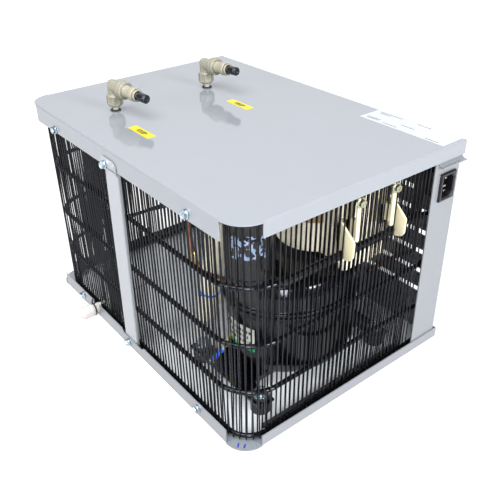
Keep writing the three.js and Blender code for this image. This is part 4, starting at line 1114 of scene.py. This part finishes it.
# ---------------------------------------------------------------- drain
def drain():
    cap = middle("drain_cap")
    r, clamp_y = 6.35, -148.0
    out = front_on(cap.x, box_mm("drain_cap")[1].y, cap.z)
    bm = bmesh.new()
    corners = [(3.8, -10.6), (r, -10.6), (r, 7.7), (3.8, 7.7)]
    turned(bm, rounded(corners, [0.2, 1.0, 0.4, 0.4], 3), out, 32, closed=True)
    sweep(bm, [(cap.x, -140, cap.z + 4.7), (cap.x, -61, cap.z + 4.7)], 1.55, 10)
    piece("drain_spigot", bm, DRAIN_MILKY, "drain_clear", "drain_tube")

    bm = bmesh.new()
    corners = [(r + 0.3, 0), (r + 1.5, 0), (r + 1.5, 12.6), (r - 0.2, 16.2), (r - 3, 17.7), (0, 18),
               (0, 15.6), (r - 2.5, 15.4), (r + 0.3, 13)]
    turned(bm, rounded(corners, [0.2, 0.5, 3.5, 2.5, 2, 0, 0, 1, 1], 4), out, 36, closed=True)
    piece("drain_cup", bm, CAP_MILKY, "cap_clear", "drain_cap", body="drain_cap")

    bm = bmesh.new()
    sweep(bm, [(p.x, clamp_y, p.y) for p in arc(r + 0.95, 78, -258, 40, cap.x, cap.z)], 0.75, 10)
    for side in (-1, 1):
        start = Vector((cap.x + side * 1.5, clamp_y, cap.z + r + 0.8))
        bends = [(side * 1.5 + 1.4, -0.6, 3.4), (side * 2.2 + 2.0, 0.4, 6.2)]
        sweep(bm, [start, *[start + Vector(bend) for bend in bends]], 0.8, 10)
    piece("clamp_wire", bm, ENAMEL, "clamp_black", "drain_clamp")


# ---------------------------------------------------------------- mains inlet
def inlet():
    low, high = box_mm("inlet_housing")
    at = side_on(high.x, (low.y + high.y) / 2, (low.z + high.z) / 2)
    w, h = (high.y - low.y) / 2, (high.z - low.z) / 2
    mouth = rounded([(-8.2, -12), (4.2, -12), (8.2, -8), (8.2, 8), (4.2, 12), (-8.2, 12)], 0.8, 3)
    rim = [p * min(w / max(abs(p.x), 1e-6), h / max(abs(p.y), 1e-6)) for p in mouth]
    for corner in ((-w, -h), (w, -h), (w, h), (-w, h)):
        i = min(range(len(rim)), key=lambda j: (rim[j] - Vector(corner)).length)
        rim[i] = Vector(corner)
    bm = bmesh.new()
    shell = [(rim, 1, -2.7), (rim, 1, -1.0), (rim, 0.955, 0), (mouth, 1.10, 0), (mouth, 1.06, -0.8),
             (mouth, 1, -1.0), (mouth, 1, -17.0)]
    back = [(rim, 1, -2.7), (mouth, 1.18, -2.7), (mouth, 1.18, -23)]
    for rings in (shell, back):
        loft(bm, [[at @ Vector((p.x * k, p.y * k, z)) for p in ring] for ring, k, z in rings], start=False)
    piece("inlet_body", bm, INLET_BLACK, "inlet_black", "inlet_housing")

    bm = bmesh.new()
    for y, z, tip in ((2, -7, -5.0), (-2, 0, -3.0), (2, 7, -5.0)):
        slab(bm, rounded(rectangle(-2, 2, -1, 1), 0.3, 2), -17.4, tip, at @ shift(y, z, 0), bevel=0.35)
    piece("inlet_blades", bm, NICKEL, "pin_nickel", "inlet_pins")


# ---------------------------------------------------------------- clips, screws, strip, labels
CLIP_SCREW = dict(shank=1.4, tip=1.5, flange=5.6, lip=0.9, shoulder=4.2, depth=1.3, head=4.0, soft=0.3,
                  fillet=0.5, sink=0.0)
SHEET_SCREW = dict(shank=1.6, tip=1.2, flange=4.7, lip=0.7, shoulder=3.9, depth=1.15, head=3.9, soft=0.25,
                   fillet=0.4, sink=0.05)


def screw(name, node, at, length, material, turn, shank, tip, flange, lip, shoulder, depth, head, soft,
          fillet, sink):
    """a hexagon-headed screw with a flange

    lip and depth are the flange's heights, soft and fillet its roundings; the head reaches
    into it by sink and the shank by twice as much
    """
    base = length - 4.3
    bm = bmesh.new()
    turned(bm, [(0, 0), (shank, tip), (shank, base + sink * 2), (0, base + sink * 2)], at, 12)
    washer = [(0, base), (flange, base), (flange, base + lip), (shoulder, base + depth), (0, base + depth)]
    turned(bm, rounded(washer, [0, soft, soft, fillet, 0], 3), at, 32)
    hex_head(bm, head, base + depth - sink, length, at, turn)
    piece(name, bm, material, "zinc", node)


def clip(name):
    """a moulding that backs the wires, hooks over the tube and shows a bar and a blade outside"""
    low, high = box_mm(f"clip_{name}")
    screw_low, screw_high = box_mm(f"clip_screw_{name}")
    y, half, row, grip = middle(f"clip_screw_{name}").y, 1.25, TUBE_ROWS[3], 2.6
    rear, back = low.x, low.x + 3.5
    front = CAGE_X + WIRE_LAYER + WIRE_R + 0.3
    blade_y = low.y + 1.25 if name == "front" else high.y - 1.55
    hook = [(CAGE_X + grip, row - 6), (CAGE_X + grip, row), *arc(grip, 22.5, 157.5, 6, CAGE_X, row),
            (CAGE_X - grip, row), (CAGE_X - grip, row - 5.4)]
    corners = [(rear, 172), *hook[::-1], (200, 170.6), (204.8, 172.6), (207.2, 176.5), (207.6, 192.5),
               (191, 207), (rear, 208)]
    radii = [0.8, *[0.0] * len(hook), 4, 3, 4, 4, 0.8, 0.8]
    bm = bmesh.new()
    slab(bm, rounded(corners, radii, 4), -half, half, front_on(0, blade_y, 0), bevel=0.3)
    foot = (min(blade_y - half, y - 5), max(blade_y + half, y + 5), 184, 207)
    for outline, r, x0, x1 in (((y - 5, y + 5, 184, 233), 1.5, rear, back), (foot, 1.5, rear, back),
                               ((y - 2.4, y + 2.4, 186, 233), 1.6, front, front + 2.5)):
        slab(bm, rounded(rectangle(*outline), r, 4), x0, x1, side_on(), bevel=0.5)
    slab(bm, rectangle(y - 1.7, y + 1.7, 190, 208), back - 1, front + 1, side_on())
    piece(f"clip_body_{name}", bm, CLIP_NYLON, "clip_cream", f"clip_{name}")
    at = side_on(screw_low.x, y, (screw_low.z + screw_high.z) / 2)
    length = screw_high.x - screw_low.x
    screw(f"hex_screw_{name}", f"clip_screw_{name}", at, length, YELLOW_ZINC, 0.4, **CLIP_SCREW)


def sheet_screw(node, turn):
    low, high = box_mm(node)
    at = front_on((low.x + high.x) / 2, high.y, (low.z + high.z) / 2)
    screw(f"hex_{node}", node, at, high.y - low.y, ZINC, turn, **SHEET_SCREW)


def floor_strip():
    low, high = box_mm("floor_foam_strip")
    inner = high.x - 4.2
    outline = [(inner - 0.6, low.y - 12), (high.x - 1.4, low.y - 14), (high.x, low.y - 4), (high.x, high.y),
               (inner, high.y)]
    bm = bmesh.new()
    slab(bm, rounded(outline, 1, 3), low.z, low.z + 4.6, bevel=0.8)
    piece("foam_strip", bm, STRIP_FOAM, "strip_foam", "floor_foam_strip")


def printed_label(node, name, paper, slot, lines, half, seed):
    """a thin film with lines of plain bars for print, each at a share of the depth and of the width"""
    low, high = box_mm(node)
    film = high.z - 0.12
    rng = random.Random(seed)
    bm = bmesh.new()
    slab(bm, rounded(rectangle(low.x, high.x, low.y, high.y), 0.8, 3), low.z, film)
    for depth, start, end in lines:
        y = low.y + (high.y - low.y) * depth
        x = low.x + (high.x - low.x) * start
        stop = low.x + (high.x - low.x) * end
        while x < stop:
            width = min(rng.uniform(1.0, 3.6), stop - x)
            slab(bm, rectangle(x, x + width, y - half, y + half), film, film + 0.03, mat=1)
            x += width + rng.uniform(0.5, 1.0)
    piece(name, bm, [paper, INK], slot, node)


def labels():
    lines = [(0.68, 0.3, 0.7), (0.5, 0.27, 0.73), (0.32, 0.34, 0.66)]
    for name in ("front", "rear"):
        printed_label(f"label_port_{name}", f"port_label_{name}", LABEL_YELLOW, "label_yellow", lines, 0.8,
                      SEED + len(name))
    lines = [(0.86, 0.06, 0.34), (0.86, 0.52, 0.68), (0.76, 0.08, 0.2), (0.42, 0.42, 0.58),
             (0.26, 0.05, 0.21), (0.18, 0.05, 0.2), (0.14, 0.26, 0.43), (0.1, 0.78, 0.92)]
    printed_label("label_rating", "rating_label", LABEL_WHITE, "label_white", lines, 0.55, SEED + 11)


# ---------------------------------------------------------------- build
camera()
studio()
lid()
base_tray()
rear_panel()
front_strap()
cage_wires()
condenser_tube()
compressor()
compressor_feet()
relay_cover()
pipework()
filter_drier()
water_coil()
tank()
wiring()
for port_name in ("front", "rear"):
    port(port_name)
    clip(port_name)
drain()
inlet()
screw_nodes = sorted(n for n in frame["nodes"] if n.startswith(("lid_screw", "base_screw")))
for index, screw_node in enumerate(screw_nodes):
    sheet_screw(screw_node, 0.35 * index)
floor_strip()
labels()
